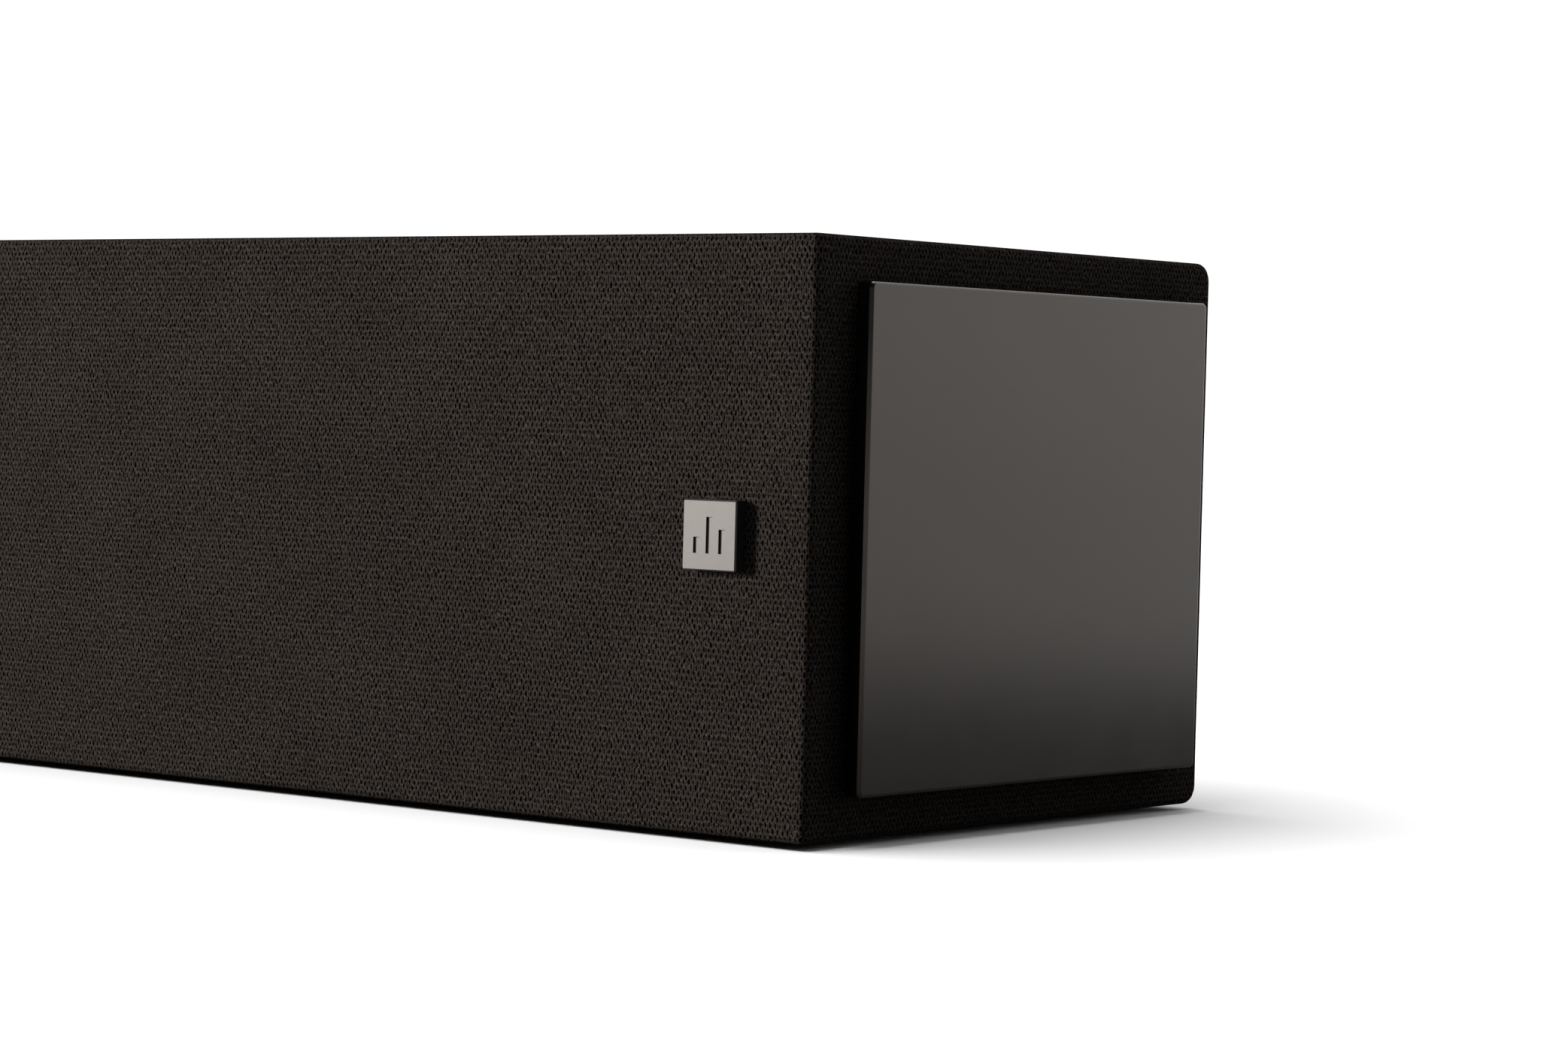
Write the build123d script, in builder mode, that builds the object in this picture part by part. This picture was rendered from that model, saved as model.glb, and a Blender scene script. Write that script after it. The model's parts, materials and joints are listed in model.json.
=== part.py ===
"""Active soundbar: a cloth-wrapped cabinet with raised end panels and a small metal badge.

Behind the cloth it holds four woofers, three tweeters, the amplifier and its boards. The rear
panel has a recess for the sockets, and five push buttons sit flush in the top.

Millimetres. X runs along the bar, the front faces -Y and +Z is up. The origin is the middle of
the bar's outline, on the surface that it stands on.
"""
from build123d import *
import os

# ---------------------------------------------------------------- driving dimensions
BAR_LENGTH = 900.0  # over the cloth, without the end panels
BAR_DEPTH = 175.5  # over the cloth, without the badge
BAR_HEIGHT = 148.5  # over the cloth, without the feet
FOOT_HEIGHT = 1.5
CLOTH = 1.0  # thickness of the knitted cloth
EDGE_RADIUS = 2.0  # all outer edges of the cloth but the two long ones at the back
BACK_EDGE_RADIUS = 5.0

BADGE_WIDTH = 17.0
BADGE_HEIGHT = 17.5
BADGE_PROUD = 3.5
BADGE_FROM_END = 29.0  # badge middle to the right end of the cloth
BADGE_PIN_RADIUS = 1.25
BADGE_PIN_SPACING = 9.0
BADGE_PIN_LENGTH = 7.0
BADGE_CORNER = 0.5
BADGE_BEVEL = 0.35

END_PANEL_DEPTH = 150.0
END_PANEL_HEIGHT = 126.0
END_PANEL_PROUD = 7.0
END_PANEL_THICKNESS = 4.5
END_PANEL_CORNER = 1.6
END_PANEL_EDGE = 0.9
END_BOSS_RADIUS = 4.5
END_BOSS_SPACING_Y = 120.0
END_BOSS_SPACING_Z = 96.0

WALL = 9.0  # cabinet boards
BAFFLE_THICKNESS = 12.0
FRAME_THICKNESS = 10.0  # grille frame, which holds the cloth clear of the drivers

WOOFER_X = (-330.0, -110.0, 110.0, 330.0)
TWEETER_X = (-235.0, 0.0, 235.0)
WOOFER_RADIUS = 50.0
WOOFER_SCREW_RING = 46.9
TWEETER_RADIUS = 27.0
TWEETER_SCREW_RING = 24.2
FLANGE = 3.5  # thickness of the driver flanges, let into the baffle

DIVIDER_X = 165.0

CONTROL_LENGTH = 132.0
CONTROL_WIDTH = 32.0
CONTROL_THICKNESS = 2.5
CONTROL_CORNER = 6.0
CONTROL_OPENING = (61.0, 12.0)  # half sizes of the hole in the top board under the control panel
CONTROL_Y = -20.0
BUTTON_RADIUS = 7.0
BUTTON_PITCH = 24.0
BUTTON_TRAVEL = 0.6

REAR_LENGTH = 340.0  # rear panel
REAR_HEIGHT = 114.0
REAR_THICKNESS = 2.0
REAR_CORNER = 4.0
REAR_SCREW_X = (-163.0, -55.0, 55.0, 163.0)
REAR_SCREW_INSET = 4.5
RECESS_LENGTH = 160.0
RECESS_HEIGHT = 48.0
RECESS_DEPTH = 22.0

INSERT_SPACING_X = 600.0  # threaded inserts for a wall bracket
INSERT_SPACING_Z = 75.0
INSERT_RADIUS = 5.0
INSERT_BORE_RADIUS = 2.55
FOOT_X = 400.0
FOOT_SPACING_Y = 112.0
FOOT_RADIUS = 12.0
FOOT_STEM_RADIUS = 3.95

FIT = 0.2  # gap round a piece let into another
HOLE_FIT = 0.05  # radial gap round a screw or a pin
SMALL_BEVEL = 0.4

# ---------------------------------------------------------------- places worked out from them
FRONT = (BADGE_PROUD - BAR_DEPTH) / 2  # outer face of the cloth at the front
BACK = FRONT + BAR_DEPTH
BOTTOM = FOOT_HEIGHT
TOP = BOTTOM + BAR_HEIGHT
END = BAR_LENGTH / 2
MID_Y = (FRONT + BACK) / 2
MID_Z = (BOTTOM + TOP) / 2

CORE_FRONT = FRONT + CLOTH
CORE_BACK = BACK - CLOTH
CORE_END = END - CLOTH
CORE_TOP = TOP - CLOTH
CORE_BOTTOM = BOTTOM + CLOTH
BAFFLE_FRONT = CORE_FRONT + FRAME_THICKNESS
SHELL_FRONT = BAFFLE_FRONT + BAFFLE_THICKNESS
INNER_BACK = CORE_BACK - WALL
INNER_END = CORE_END - WALL
INNER_TOP = CORE_TOP - WALL
INNER_BOTTOM = CORE_BOTTOM + WALL

REAR_INNER = BACK - REAR_THICKNESS  # inner face of the rear panel's plate
RECESS_FLOOR = BACK - RECESS_DEPTH
RECESS_Z = MID_Z - 20.0
SOCKET_PLANE = Plane(origin=(0, RECESS_FLOOR, RECESS_Z), x_dir=(1, 0, 0), z_dir=(0, 1, 0))

os.makedirs("parts", exist_ok=True)


# ---------------------------------------------------------------- helpers
def keep(piece, label):
    """Name a finished piece and write it to its own STEP file."""
    piece.part.label = label
    export_step(piece.part, f"parts/{label}.step")


def block(low, high, mode=Mode.ADD):
    """A box between two corners, in the piece that is being built."""
    middle = tuple((a + b) / 2 for a, b in zip(low, high))
    size = tuple(b - a for a, b in zip(low, high))
    with Locations(middle):
        Box(*size, mode=mode)


def rod_y(x, z, y_from, y_to, radius, mode=Mode.ADD):
    """A round bar or hole along Y, in the piece that is being built."""
    with Locations(Location((x, (y_from + y_to) / 2, z), (90, 0, 0))):
        Cylinder(radius, abs(y_to - y_from), mode=mode)


def rod_z(x, y, z_from, z_to, radius, mode=Mode.ADD):
    """A round bar or hole along Z, in the piece that is being built."""
    with Locations((x, y, (z_from + z_to) / 2)):
        Cylinder(radius, abs(z_to - z_from), mode=mode)


def rod_x(y, z, x_from, x_to, radius, mode=Mode.ADD):
    """A round bar or hole along X, in the piece that is being built."""
    with Locations(Location(((x_from + x_to) / 2, y, z), (0, 90, 0))):
        Cylinder(radius, abs(x_to - x_from), mode=mode)


def outline_box(inset):
    """The bar's rounded outline, set in from the cloth's outer face."""
    with BuildPart() as outline:
        low = (-END + inset, FRONT + inset, BOTTOM + inset)
        high = (END - inset, BACK - inset, TOP - inset)
        block(low, high)
        back_edges = outline.edges().filter_by(Axis.X).group_by(Axis.Y)[-1]
        fillet(back_edges, BACK_EDGE_RADIUS - inset)
        front_edges = outline.edges().filter_by(Axis.X).group_by(Axis.Y)[0]
        end_edges = outline.faces().filter_by(Axis.X).edges()
        fillet(front_edges + end_edges, EDGE_RADIUS - inset)
    return outline.part


def driver_section(x):
    """A driver's half section: local X is the radius, local Y the depth behind the baffle's face."""
    return Plane(origin=(x, BAFFLE_FRONT, MID_Z))


def polar_places(radius, count, start):
    """Places round a driver's axis, as offsets in X and Z."""
    ring = PolarLocations(radius, count, start_angle=start)
    return [(place.position.X, place.position.Y) for place in ring.local_locations]


def corner_places(spacing_a, spacing_b):
    """The four corners of a rectangle about the origin."""
    return [(a * spacing_a / 2, b * spacing_b / 2) for a in (-1, 1) for b in (-1, 1)]


CORE = outline_box(CLOTH)
WOOFER_SCREWS = polar_places(WOOFER_SCREW_RING, 4, 45)
TWEETER_SCREWS = polar_places(TWEETER_SCREW_RING, 3, 90)
END_BOSSES = [(MID_Y + y, MID_Z + z) for y, z in corner_places(END_BOSS_SPACING_Y, END_BOSS_SPACING_Z)]
FEET = [(x, MID_Y + y) for x, y in corner_places(2 * FOOT_X, FOOT_SPACING_Y)]
INSERTS = [(x, MID_Z + z) for x, z in corner_places(INSERT_SPACING_X, INSERT_SPACING_Z)]
BADGE_X = END - BADGE_FROM_END
BADGE_PINS = [BADGE_X - BADGE_PIN_SPACING / 2, BADGE_X + BADGE_PIN_SPACING / 2]
BUTTON_X = [BUTTON_PITCH * step for step in (-2, -1, 0, 1, 2)]
REAR_SCREW_Z = REAR_HEIGHT / 2 - REAR_SCREW_INSET
REAR_SCREWS = [(x, MID_Z + side * REAR_SCREW_Z) for x in REAR_SCREW_X for side in (-1, 1)]

# ---------------------------------------------------------------- cabinet
SCREW = 1.4  # shank radius of the driver screws
SCREW_SLOT = 1.1  # radius of the driver's hole in a screw head
END_SCREW = 1.6
LEAD_HOLE = 5.0  # way through a divider for the loudspeaker leads
LEAD_HOLE_HEIGHT = 20.0
WOOFER_OPENING = 43.6
TWEETER_OPENING = 20.6
WINDOW_HEIGHT = 112.0
WINDOW_CORNER = 10.0
SIDE_WINDOW = (205.0, 385.0)  # the outer windows of the grille frame, along X
MIDDLE_WINDOW = 165.0  # half the middle window
SENSOR_POCKET = (25.0, 5.0, 17.0)  # half length, lowest and highest Z
SENSOR_POCKET_FRONT = FRONT + 2.5
SENSOR_EYES = (-12.0, 12.0)
SENSOR_EYE_RADIUS = 2.6
SENSOR_EYE_LENGTH = 4.0
SENSOR_EYE_ROUNDING = 1.2
SENSOR_PEGS = (-20.0, 20.0)
SENSOR_PEG_RADIUS = 2.0
SENSOR_Z = 11.0
SENSOR_BOARD = (24.0, 6.0, 16.0)
SENSOR_BOARD_FRONT = FRONT + 5.65
REAR_WINDOW = (158.0, 48.0)  # half sizes of the hole behind the rear panel

with BuildPart() as cabinet_shell:
    add(CORE)
    block((-END, SHELL_FRONT, 0), (END, BACK, TOP), Mode.INTERSECT)
    block((-INNER_END, SHELL_FRONT, INNER_BOTTOM), (INNER_END, INNER_BACK, INNER_TOP), Mode.SUBTRACT)
    # hole and rebate for the rear panel
    block(
        (-REAR_WINDOW[0], INNER_BACK, MID_Z - REAR_WINDOW[1]),
        (REAR_WINDOW[0], BACK, MID_Z + REAR_WINDOW[1]),
        Mode.SUBTRACT,
    )
    with BuildSketch(Plane.XZ.offset(-BACK)):
        with Locations((0, MID_Z)):
            RectangleRounded(REAR_LENGTH + 2 * FIT, REAR_HEIGHT + 2 * FIT, REAR_CORNER + FIT)
    extrude(amount=REAR_THICKNESS, mode=Mode.SUBTRACT)
    # hole and rebate for the control panel
    with BuildSketch(Plane.XY.offset(TOP - CONTROL_THICKNESS)):
        with Locations((0, CONTROL_Y)):
            RectangleRounded(CONTROL_LENGTH + 2 * FIT, CONTROL_WIDTH + 2 * FIT, CONTROL_CORNER + FIT)
    extrude(amount=CONTROL_THICKNESS, mode=Mode.SUBTRACT)
    block(
        (-CONTROL_OPENING[0], CONTROL_Y - CONTROL_OPENING[1], INNER_TOP),
        (CONTROL_OPENING[0], CONTROL_Y + CONTROL_OPENING[1], TOP),
        Mode.SUBTRACT,
    )
    for y, z in END_BOSSES:
        rod_x(y, z, -END, -INNER_END, END_SCREW + HOLE_FIT, Mode.SUBTRACT)
        rod_x(y, z, INNER_END, END, END_SCREW + HOLE_FIT, Mode.SUBTRACT)
    for x, y in FEET:
        rod_z(x, y, 0, INNER_BOTTOM, FOOT_STEM_RADIUS + HOLE_FIT, Mode.SUBTRACT)
    for x, z in INSERTS:
        rod_y(x, z, INNER_BACK, BACK, INSERT_RADIUS + HOLE_FIT, Mode.SUBTRACT)
    for x, z in REAR_SCREWS:
        rod_y(x, z, INNER_BACK, BACK, SCREW + HOLE_FIT, Mode.SUBTRACT)
keep(cabinet_shell, "cabinet_shell")

with BuildPart() as front_baffle:
    add(CORE)
    block((-END, BAFFLE_FRONT, 0), (END, SHELL_FRONT, TOP), Mode.INTERSECT)
    for x in WOOFER_X:
        rod_y(x, MID_Z, BAFFLE_FRONT, BAFFLE_FRONT + FLANGE, WOOFER_RADIUS + FIT, Mode.SUBTRACT)
        rod_y(x, MID_Z, BAFFLE_FRONT, SHELL_FRONT, WOOFER_OPENING, Mode.SUBTRACT)
        for dx, dz in WOOFER_SCREWS:
            rod_y(x + dx, MID_Z + dz, BAFFLE_FRONT, SHELL_FRONT, SCREW + HOLE_FIT, Mode.SUBTRACT)
    for x in TWEETER_X:
        rod_y(x, MID_Z, BAFFLE_FRONT, BAFFLE_FRONT + FLANGE, TWEETER_RADIUS + FIT, Mode.SUBTRACT)
        rod_y(x, MID_Z, BAFFLE_FRONT, SHELL_FRONT, TWEETER_OPENING, Mode.SUBTRACT)
        for dx, dz in TWEETER_SCREWS:
            rod_y(x + dx, MID_Z + dz, BAFFLE_FRONT, SHELL_FRONT, SCREW + HOLE_FIT, Mode.SUBTRACT)
keep(front_baffle, "front_baffle")

for side, label in ((-1, "chamber_divider_left"), (1, "chamber_divider_right")):
    with BuildPart() as chamber_divider:
        block(
            (side * DIVIDER_X - WALL / 2, SHELL_FRONT, INNER_BOTTOM),
            (side * DIVIDER_X + WALL / 2, INNER_BACK, INNER_TOP),
        )
        rod_x(
            MID_Y,
            INNER_BOTTOM + LEAD_HOLE_HEIGHT,
            side * DIVIDER_X - WALL,
            side * DIVIDER_X + WALL,
            LEAD_HOLE,
            Mode.SUBTRACT,
        )
    keep(chamber_divider, label)

with BuildPart() as grille_frame:
    add(CORE)
    block((-END, FRONT, 0), (END, BAFFLE_FRONT, TOP), Mode.INTERSECT)
    with BuildSketch(Plane.XZ.offset(-BAFFLE_FRONT)):
        with Locations((0, MID_Z)):
            RectangleRounded(2 * MIDDLE_WINDOW, WINDOW_HEIGHT, WINDOW_CORNER)
        for side in (-1, 1):
            with Locations((side * sum(SIDE_WINDOW) / 2, MID_Z)):
                RectangleRounded(SIDE_WINDOW[1] - SIDE_WINDOW[0], WINDOW_HEIGHT, WINDOW_CORNER)
    extrude(amount=FRAME_THICKNESS, mode=Mode.SUBTRACT)
    # pocket and eyes for the remote sensor
    block(
        (-SENSOR_POCKET[0], SENSOR_POCKET_FRONT, SENSOR_POCKET[1]),
        (SENSOR_POCKET[0], BAFFLE_FRONT, SENSOR_POCKET[2]),
        Mode.SUBTRACT,
    )
    for x in SENSOR_EYES:
        rod_y(x, SENSOR_Z, FRONT, BAFFLE_FRONT, SENSOR_EYE_RADIUS + 2 * FIT, Mode.SUBTRACT)
    for x in SENSOR_PEGS:
        rod_y(x, SENSOR_Z, SENSOR_POCKET_FRONT, SENSOR_BOARD_FRONT, SENSOR_PEG_RADIUS)
    for x in BADGE_PINS:
        rod_y(x, MID_Z, FRONT, FRONT + BADGE_PIN_LENGTH + 1, BADGE_PIN_RADIUS + HOLE_FIT, Mode.SUBTRACT)
keep(grille_frame, "grille_frame")

# ---------------------------------------------------------------- cloth
INSERT_FLANGE = 7.0

with BuildPart() as fabric_sleeve:
    add(outline_box(0))
    add(CORE, mode=Mode.SUBTRACT)
    with BuildSketch(Plane.XZ.offset(-BACK)):
        with Locations((0, MID_Z)):
            RectangleRounded(REAR_LENGTH + 2 * FIT, REAR_HEIGHT + 2 * FIT, REAR_CORNER + FIT)
    extrude(amount=CLOTH, mode=Mode.SUBTRACT)
    with BuildSketch(Plane.XY.offset(CORE_TOP)):
        with Locations((0, CONTROL_Y)):
            RectangleRounded(CONTROL_LENGTH + 2 * FIT, CONTROL_WIDTH + 2 * FIT, CONTROL_CORNER + FIT)
    extrude(amount=CLOTH, mode=Mode.SUBTRACT)
    for y, z in END_BOSSES:
        rod_x(y, z, -END, -CORE_END, END_BOSS_RADIUS + FIT, Mode.SUBTRACT)
        rod_x(y, z, CORE_END, END, END_BOSS_RADIUS + FIT, Mode.SUBTRACT)
    for x, y in FEET:
        rod_z(x, y, BOTTOM, CORE_BOTTOM, FOOT_STEM_RADIUS + FIT, Mode.SUBTRACT)
    for x, z in INSERTS:
        rod_y(x, z, CORE_BACK, BACK, INSERT_FLANGE + FIT, Mode.SUBTRACT)
    for x in BADGE_PINS:
        rod_y(x, MID_Z, FRONT, CORE_FRONT, BADGE_PIN_RADIUS + FIT, Mode.SUBTRACT)
keep(fabric_sleeve, "fabric_sleeve")

# ---------------------------------------------------------------- badge
MARK_DEPTH = 0.5
MARK_BARS = ((-4.0, 4.0), (0.0, 9.0), (4.0, 6.0))  # place along X and height of each level bar
MARK_BAR_WIDTH = 2.0
MARK_BASE = MID_Z - 4.5

with BuildPart() as badge:
    block(
        (BADGE_X - BADGE_WIDTH / 2, FRONT - BADGE_PROUD, MID_Z - BADGE_HEIGHT / 2),
        (BADGE_X + BADGE_WIDTH / 2, FRONT, MID_Z + BADGE_HEIGHT / 2),
    )
    fillet(badge.edges().filter_by(Axis.Y), BADGE_CORNER)
    chamfer(badge.faces().sort_by(Axis.Y)[0].edges(), BADGE_BEVEL)
    for offset, height in MARK_BARS:
        bar_x = BADGE_X + offset
        block(
            (bar_x - MARK_BAR_WIDTH / 2, FRONT - BADGE_PROUD, MARK_BASE),
            (bar_x + MARK_BAR_WIDTH / 2, FRONT - BADGE_PROUD + MARK_DEPTH, MARK_BASE + height),
            Mode.SUBTRACT,
        )
    for x in BADGE_PINS:
        rod_y(x, MID_Z, FRONT, FRONT + BADGE_PIN_LENGTH, BADGE_PIN_RADIUS)
keep(badge, "badge")

# ---------------------------------------------------------------- end panels
PANEL_INNER = END + END_PANEL_PROUD - END_PANEL_THICKNESS
PANEL_OUTER = END + END_PANEL_PROUD
PANEL_SCREW_END = PANEL_OUTER - 2
END_HEAD_RADIUS = 3.2
END_HEAD_HEIGHT = 2.4
END_HEAD_SLOT = 1.2

for side, label in ((-1, "end_panel_left"), (1, "end_panel_right")):
    with BuildPart() as end_panel:
        low_x, high_x = sorted((side * PANEL_INNER, side * PANEL_OUTER))
        block(
            (low_x, MID_Y - END_PANEL_DEPTH / 2, MID_Z - END_PANEL_HEIGHT / 2),
            (high_x, MID_Y + END_PANEL_DEPTH / 2, MID_Z + END_PANEL_HEIGHT / 2),
        )
        fillet(end_panel.edges().filter_by(Axis.X), END_PANEL_CORNER)
        faces = end_panel.faces().sort_by(Axis.X)
        fillet(faces[-1 if side > 0 else 0].edges(), END_PANEL_EDGE)
        for y, z in END_BOSSES:
            rod_x(y, z, side * CORE_END, side * PANEL_INNER, END_BOSS_RADIUS)
            rod_x(y, z, side * CORE_END, side * PANEL_SCREW_END, END_SCREW + HOLE_FIT, Mode.SUBTRACT)
    keep(end_panel, label)

with BuildPart() as end_panel_screws:
    for side in (-1, 1):
        for y, z in END_BOSSES:
            rod_x(y, z, side * INNER_END, side * (PANEL_SCREW_END - 0.5), END_SCREW)
            head = side * (INNER_END - END_HEAD_HEIGHT)
            rod_x(y, z, head, side * INNER_END, END_HEAD_RADIUS)
            rod_x(y, z, head, head + side * END_HEAD_HEIGHT / 2, END_HEAD_SLOT, Mode.SUBTRACT)
keep(end_panel_screws, "end_panel_screws")

# ---------------------------------------------------------------- feet and wall inserts
FOOT_LABELS = ("foot_front_left", "foot_back_left", "foot_front_right", "foot_back_right")

for (x, y), label in zip(FEET, FOOT_LABELS):
    with BuildPart() as foot:
        rod_z(x, y, 0, FOOT_HEIGHT, FOOT_RADIUS)
        chamfer(foot.faces().sort_by(Axis.Z)[0].edges(), SMALL_BEVEL)
        rod_z(x, y, FOOT_HEIGHT, INNER_BOTTOM - 1, FOOT_STEM_RADIUS)
    keep(foot, label)

with BuildPart() as wall_inserts:
    for x, z in INSERTS:
        rod_y(x, z, INNER_BACK, CORE_BACK, INSERT_RADIUS)
        rod_y(x, z, CORE_BACK, BACK, INSERT_FLANGE)
        rod_y(x, z, INNER_BACK, BACK, INSERT_BORE_RADIUS, Mode.SUBTRACT)
keep(wall_inserts, "wall_inserts")

# ---------------------------------------------------------------- woofers
FRAME_OUTLINE = (
    (44, 0), (50, 0), (50, 3.5), (43, 3.5), (38, 21.5), (32.5, 21.5), (32.5, 36), (16, 36),
    (16, 34.5), (31, 34.5), (31, 20), (36.4, 20), (41, 4.7), (41, 1.5), (44, 1.5),
)
MAGNET_OUTLINE = (
    (0, 36.5), (11.5, 36.5), (11.5, 55), (16, 55), (16, 41), (13.4, 41), (13.4, 36), (30, 36),
    (30, 41), (33, 41), (33, 55), (30, 55), (30, 60), (0, 60),
)
CONE_OUTLINE = (
    (33, 1.5), (34.6, 1.5), (34.6, 2.3), (33.4, 2.3), (12.4, 18.3), (12.4, 36.5), (12.9, 36.5),
    (12.9, 44.5), (12.4, 44.5), (12.4, 46), (12, 46), (12, 17.4),
)
BASKET_WINDOWS = ((40, 12.5, 11, 26), (32, 28, 8, 16))  # ring radius, depth, length and width
WINDOW_CUT = 8.0
CAP_RIM = (14.2, 15.8)
CAP_TOP = 10.6
CAP_THICKNESS = 0.7
CAP_INNER_RIM = (14.0, 16.8)
CAP_SLOPE = (0.66, 0.75)
ROLL_INNER = 34.8
ROLL_OUTER = 41.0
ROLL_REACH = 3.1  # how far the surround's half roll stands forward
RUBBER = 0.6
SURROUND_BACK = 1.5
SURROUND_INNER = 33.2
SURROUND_OUTER = 43.8
SPIDER_RADII = (13.2, 15.6, 18.0, 20.4, 22.8, 25.2, 27.6)
SPIDER_DEPTHS = (19.0, 20.6)
SPIDER_ROOT = (12.5, 19.4)
SPIDER_RIM = [(31.2, 19.6), (35.8, 19.6)]
SPIDER_CLOTH = 0.4


def driver_axis(section):
    """The axis that a driver's round pieces turn about."""
    return Axis(section.origin, (0, 1, 0))


def turned(section, outline):
    """A piece turned about a driver's axis from a closed outline of (radius, depth) points."""
    with BuildPart() as piece:
        with BuildSketch(section):
            with BuildLine():
                Polyline(*outline, close=True)
            make_face()
        revolve(axis=driver_axis(section))
    return piece.part


def woofer_frame(x):
    """Pressed steel basket with two rings of windows."""
    with BuildPart() as piece:
        add(turned(driver_section(x), FRAME_OUTLINE))
        for ring, depth, length, width in BASKET_WINDOWS:
            spokes = Plane(origin=(x, BAFFLE_FRONT + depth, MID_Z), x_dir=(1, 0, 0), z_dir=(0, 1, 0))
            with Locations(spokes):
                with PolarLocations(ring, 4, start_angle=0):
                    Box(WINDOW_CUT, width, length, mode=Mode.SUBTRACT)
        for dx, dz in WOOFER_SCREWS:
            rod_y(x + dx, MID_Z + dz, BAFFLE_FRONT, BAFFLE_FRONT + FLANGE, SCREW + HOLE_FIT, Mode.SUBTRACT)
    return piece


def woofer_cone(x):
    """Paper cone with its voice coil, coil former and dust cap, which move as one."""
    section = driver_section(x)
    with BuildPart() as piece:
        add(turned(section, CONE_OUTLINE))
        with BuildSketch(section):
            with BuildLine():
                outer_arc = Spline((0, CAP_TOP), CAP_RIM, tangents=((1, 0), CAP_SLOPE))
                Line(CAP_RIM, CAP_INNER_RIM)
                cap_inside = (0, CAP_TOP + CAP_THICKNESS)
                inner_arc = Spline(cap_inside, CAP_INNER_RIM, tangents=((1, 0), CAP_SLOPE))
                Line(outer_arc @ 0, inner_arc @ 0)
            make_face()
        revolve(axis=driver_axis(section))
    return piece


def woofer_suspension(x):
    """Rubber half-roll surround and corrugated spider, which flex as the cone moves."""
    section = driver_section(x)
    front = SURROUND_BACK - RUBBER
    roll_middle = (ROLL_INNER + ROLL_OUTER) / 2
    corrugation = [(r, SPIDER_DEPTHS[step % 2]) for step, r in enumerate(SPIDER_RADII)]
    spider_front = [SPIDER_ROOT] + corrugation + SPIDER_RIM
    spider_back = [(r, depth + SPIDER_CLOTH) for r, depth in reversed(spider_front)]
    with BuildPart() as piece:
        with BuildSketch(section):
            with BuildLine():
                Line((SURROUND_INNER, front), (ROLL_INNER, front))
                ThreePointArc((ROLL_INNER, front), (roll_middle, front - ROLL_REACH), (ROLL_OUTER, front))
                Line((ROLL_OUTER, front), (SURROUND_OUTER, front))
                Line((SURROUND_OUTER, front), (SURROUND_OUTER, SURROUND_BACK))
                Line((SURROUND_OUTER, SURROUND_BACK), (ROLL_OUTER - RUBBER, SURROUND_BACK))
                ThreePointArc(
                    (ROLL_OUTER - RUBBER, SURROUND_BACK),
                    (roll_middle, front - ROLL_REACH + RUBBER),
                    (ROLL_INNER + RUBBER, SURROUND_BACK),
                )
                Line((ROLL_INNER + RUBBER, SURROUND_BACK), (SURROUND_INNER, SURROUND_BACK))
                Line((SURROUND_INNER, SURROUND_BACK), (SURROUND_INNER, front))
            make_face()
        revolve(axis=driver_axis(section))
        add(turned(section, spider_front + spider_back))
    return piece


for number, x in enumerate(WOOFER_X, start=1):
    with BuildPart() as woofer_magnet:
        add(turned(driver_section(x), MAGNET_OUTLINE))
    keep(woofer_frame(x), f"woofer_{number}_frame")
    keep(woofer_magnet, f"woofer_{number}_magnet")
    keep(woofer_cone(x), f"woofer_{number}_cone")
    keep(woofer_suspension(x), f"woofer_{number}_suspension")

# ---------------------------------------------------------------- tweeters
FACEPLATE_OUTLINE = ((21, 0), (27, 0), (27, 3.5), (14.8, 3.5), (14.8, 2.6))
TWEETER_MAGNET_OUTLINE = (
    (0, 5), (11.5, 5), (11.5, 14), (14.6, 14), (14.6, 6.5), (13.3, 6.5), (13.3, 3.5), (20, 3.5),
    (20, 18), (0, 18),
)
DOME_RIM = 12.6
DOME_DEPTH = 2.6
DOME_TOP = -1.6
DOME_CLOTH = 0.4
DOME_SLOPE = (0.8, 0.6)
VOICE_COIL_OUTLINE = ((12, 2.9), (12.4, 2.9), (12.4, 5), (12.7, 5), (12.7, 8), (12, 8))
TWEETER_SURROUND_OUTLINE = ((12.7, 2.6), (13.7, 1.9), (14.7, 2.6), (14.7, 3.4), (12.7, 3.0))
WOOFER_HEAD = 2.7  # radii and height of the driver screws' heads
TWEETER_HEAD = 2.4
DRIVER_HEAD_HEIGHT = 1.6
DRIVER_HEAD_SLOT_DEPTH = 1.0


def tweeter_dome(x):
    """Cloth dome with its voice coil."""
    section = driver_section(x)
    with BuildPart() as piece:
        with BuildSketch(section):
            with BuildLine():
                outer_arc = Spline((0, DOME_TOP), (DOME_RIM, DOME_DEPTH), tangents=((1, 0), DOME_SLOPE))
                back = DOME_DEPTH + DOME_CLOTH
                Line(outer_arc @ 1, (DOME_RIM, back))
                dome_inside = (0, DOME_TOP + DOME_CLOTH)
                inner_arc = Spline(dome_inside, (DOME_RIM - 0.6, back), tangents=((1, 0), DOME_SLOPE))
                Line((DOME_RIM, back), inner_arc @ 1)
                Line(outer_arc @ 0, inner_arc @ 0)
            make_face()
        revolve(axis=driver_axis(section))
        add(turned(section, VOICE_COIL_OUTLINE))
    return piece


for number, x in enumerate(TWEETER_X, start=1):
    section = driver_section(x)
    with BuildPart() as faceplate:
        add(turned(section, FACEPLATE_OUTLINE))
        for dx, dz in TWEETER_SCREWS:
            rod_y(x + dx, MID_Z + dz, BAFFLE_FRONT, BAFFLE_FRONT + FLANGE, SCREW + HOLE_FIT, Mode.SUBTRACT)
    keep(faceplate, f"tweeter_{number}_faceplate")
    keep(tweeter_dome(x), f"tweeter_{number}_dome")

with BuildPart() as tweeter_magnets:
    for x in TWEETER_X:
        add(turned(driver_section(x), TWEETER_MAGNET_OUTLINE))
keep(tweeter_magnets, "tweeter_magnets")

with BuildPart() as tweeter_surrounds:
    for x in TWEETER_X:
        add(turned(driver_section(x), TWEETER_SURROUND_OUTLINE))
keep(tweeter_surrounds, "tweeter_surrounds")

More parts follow.
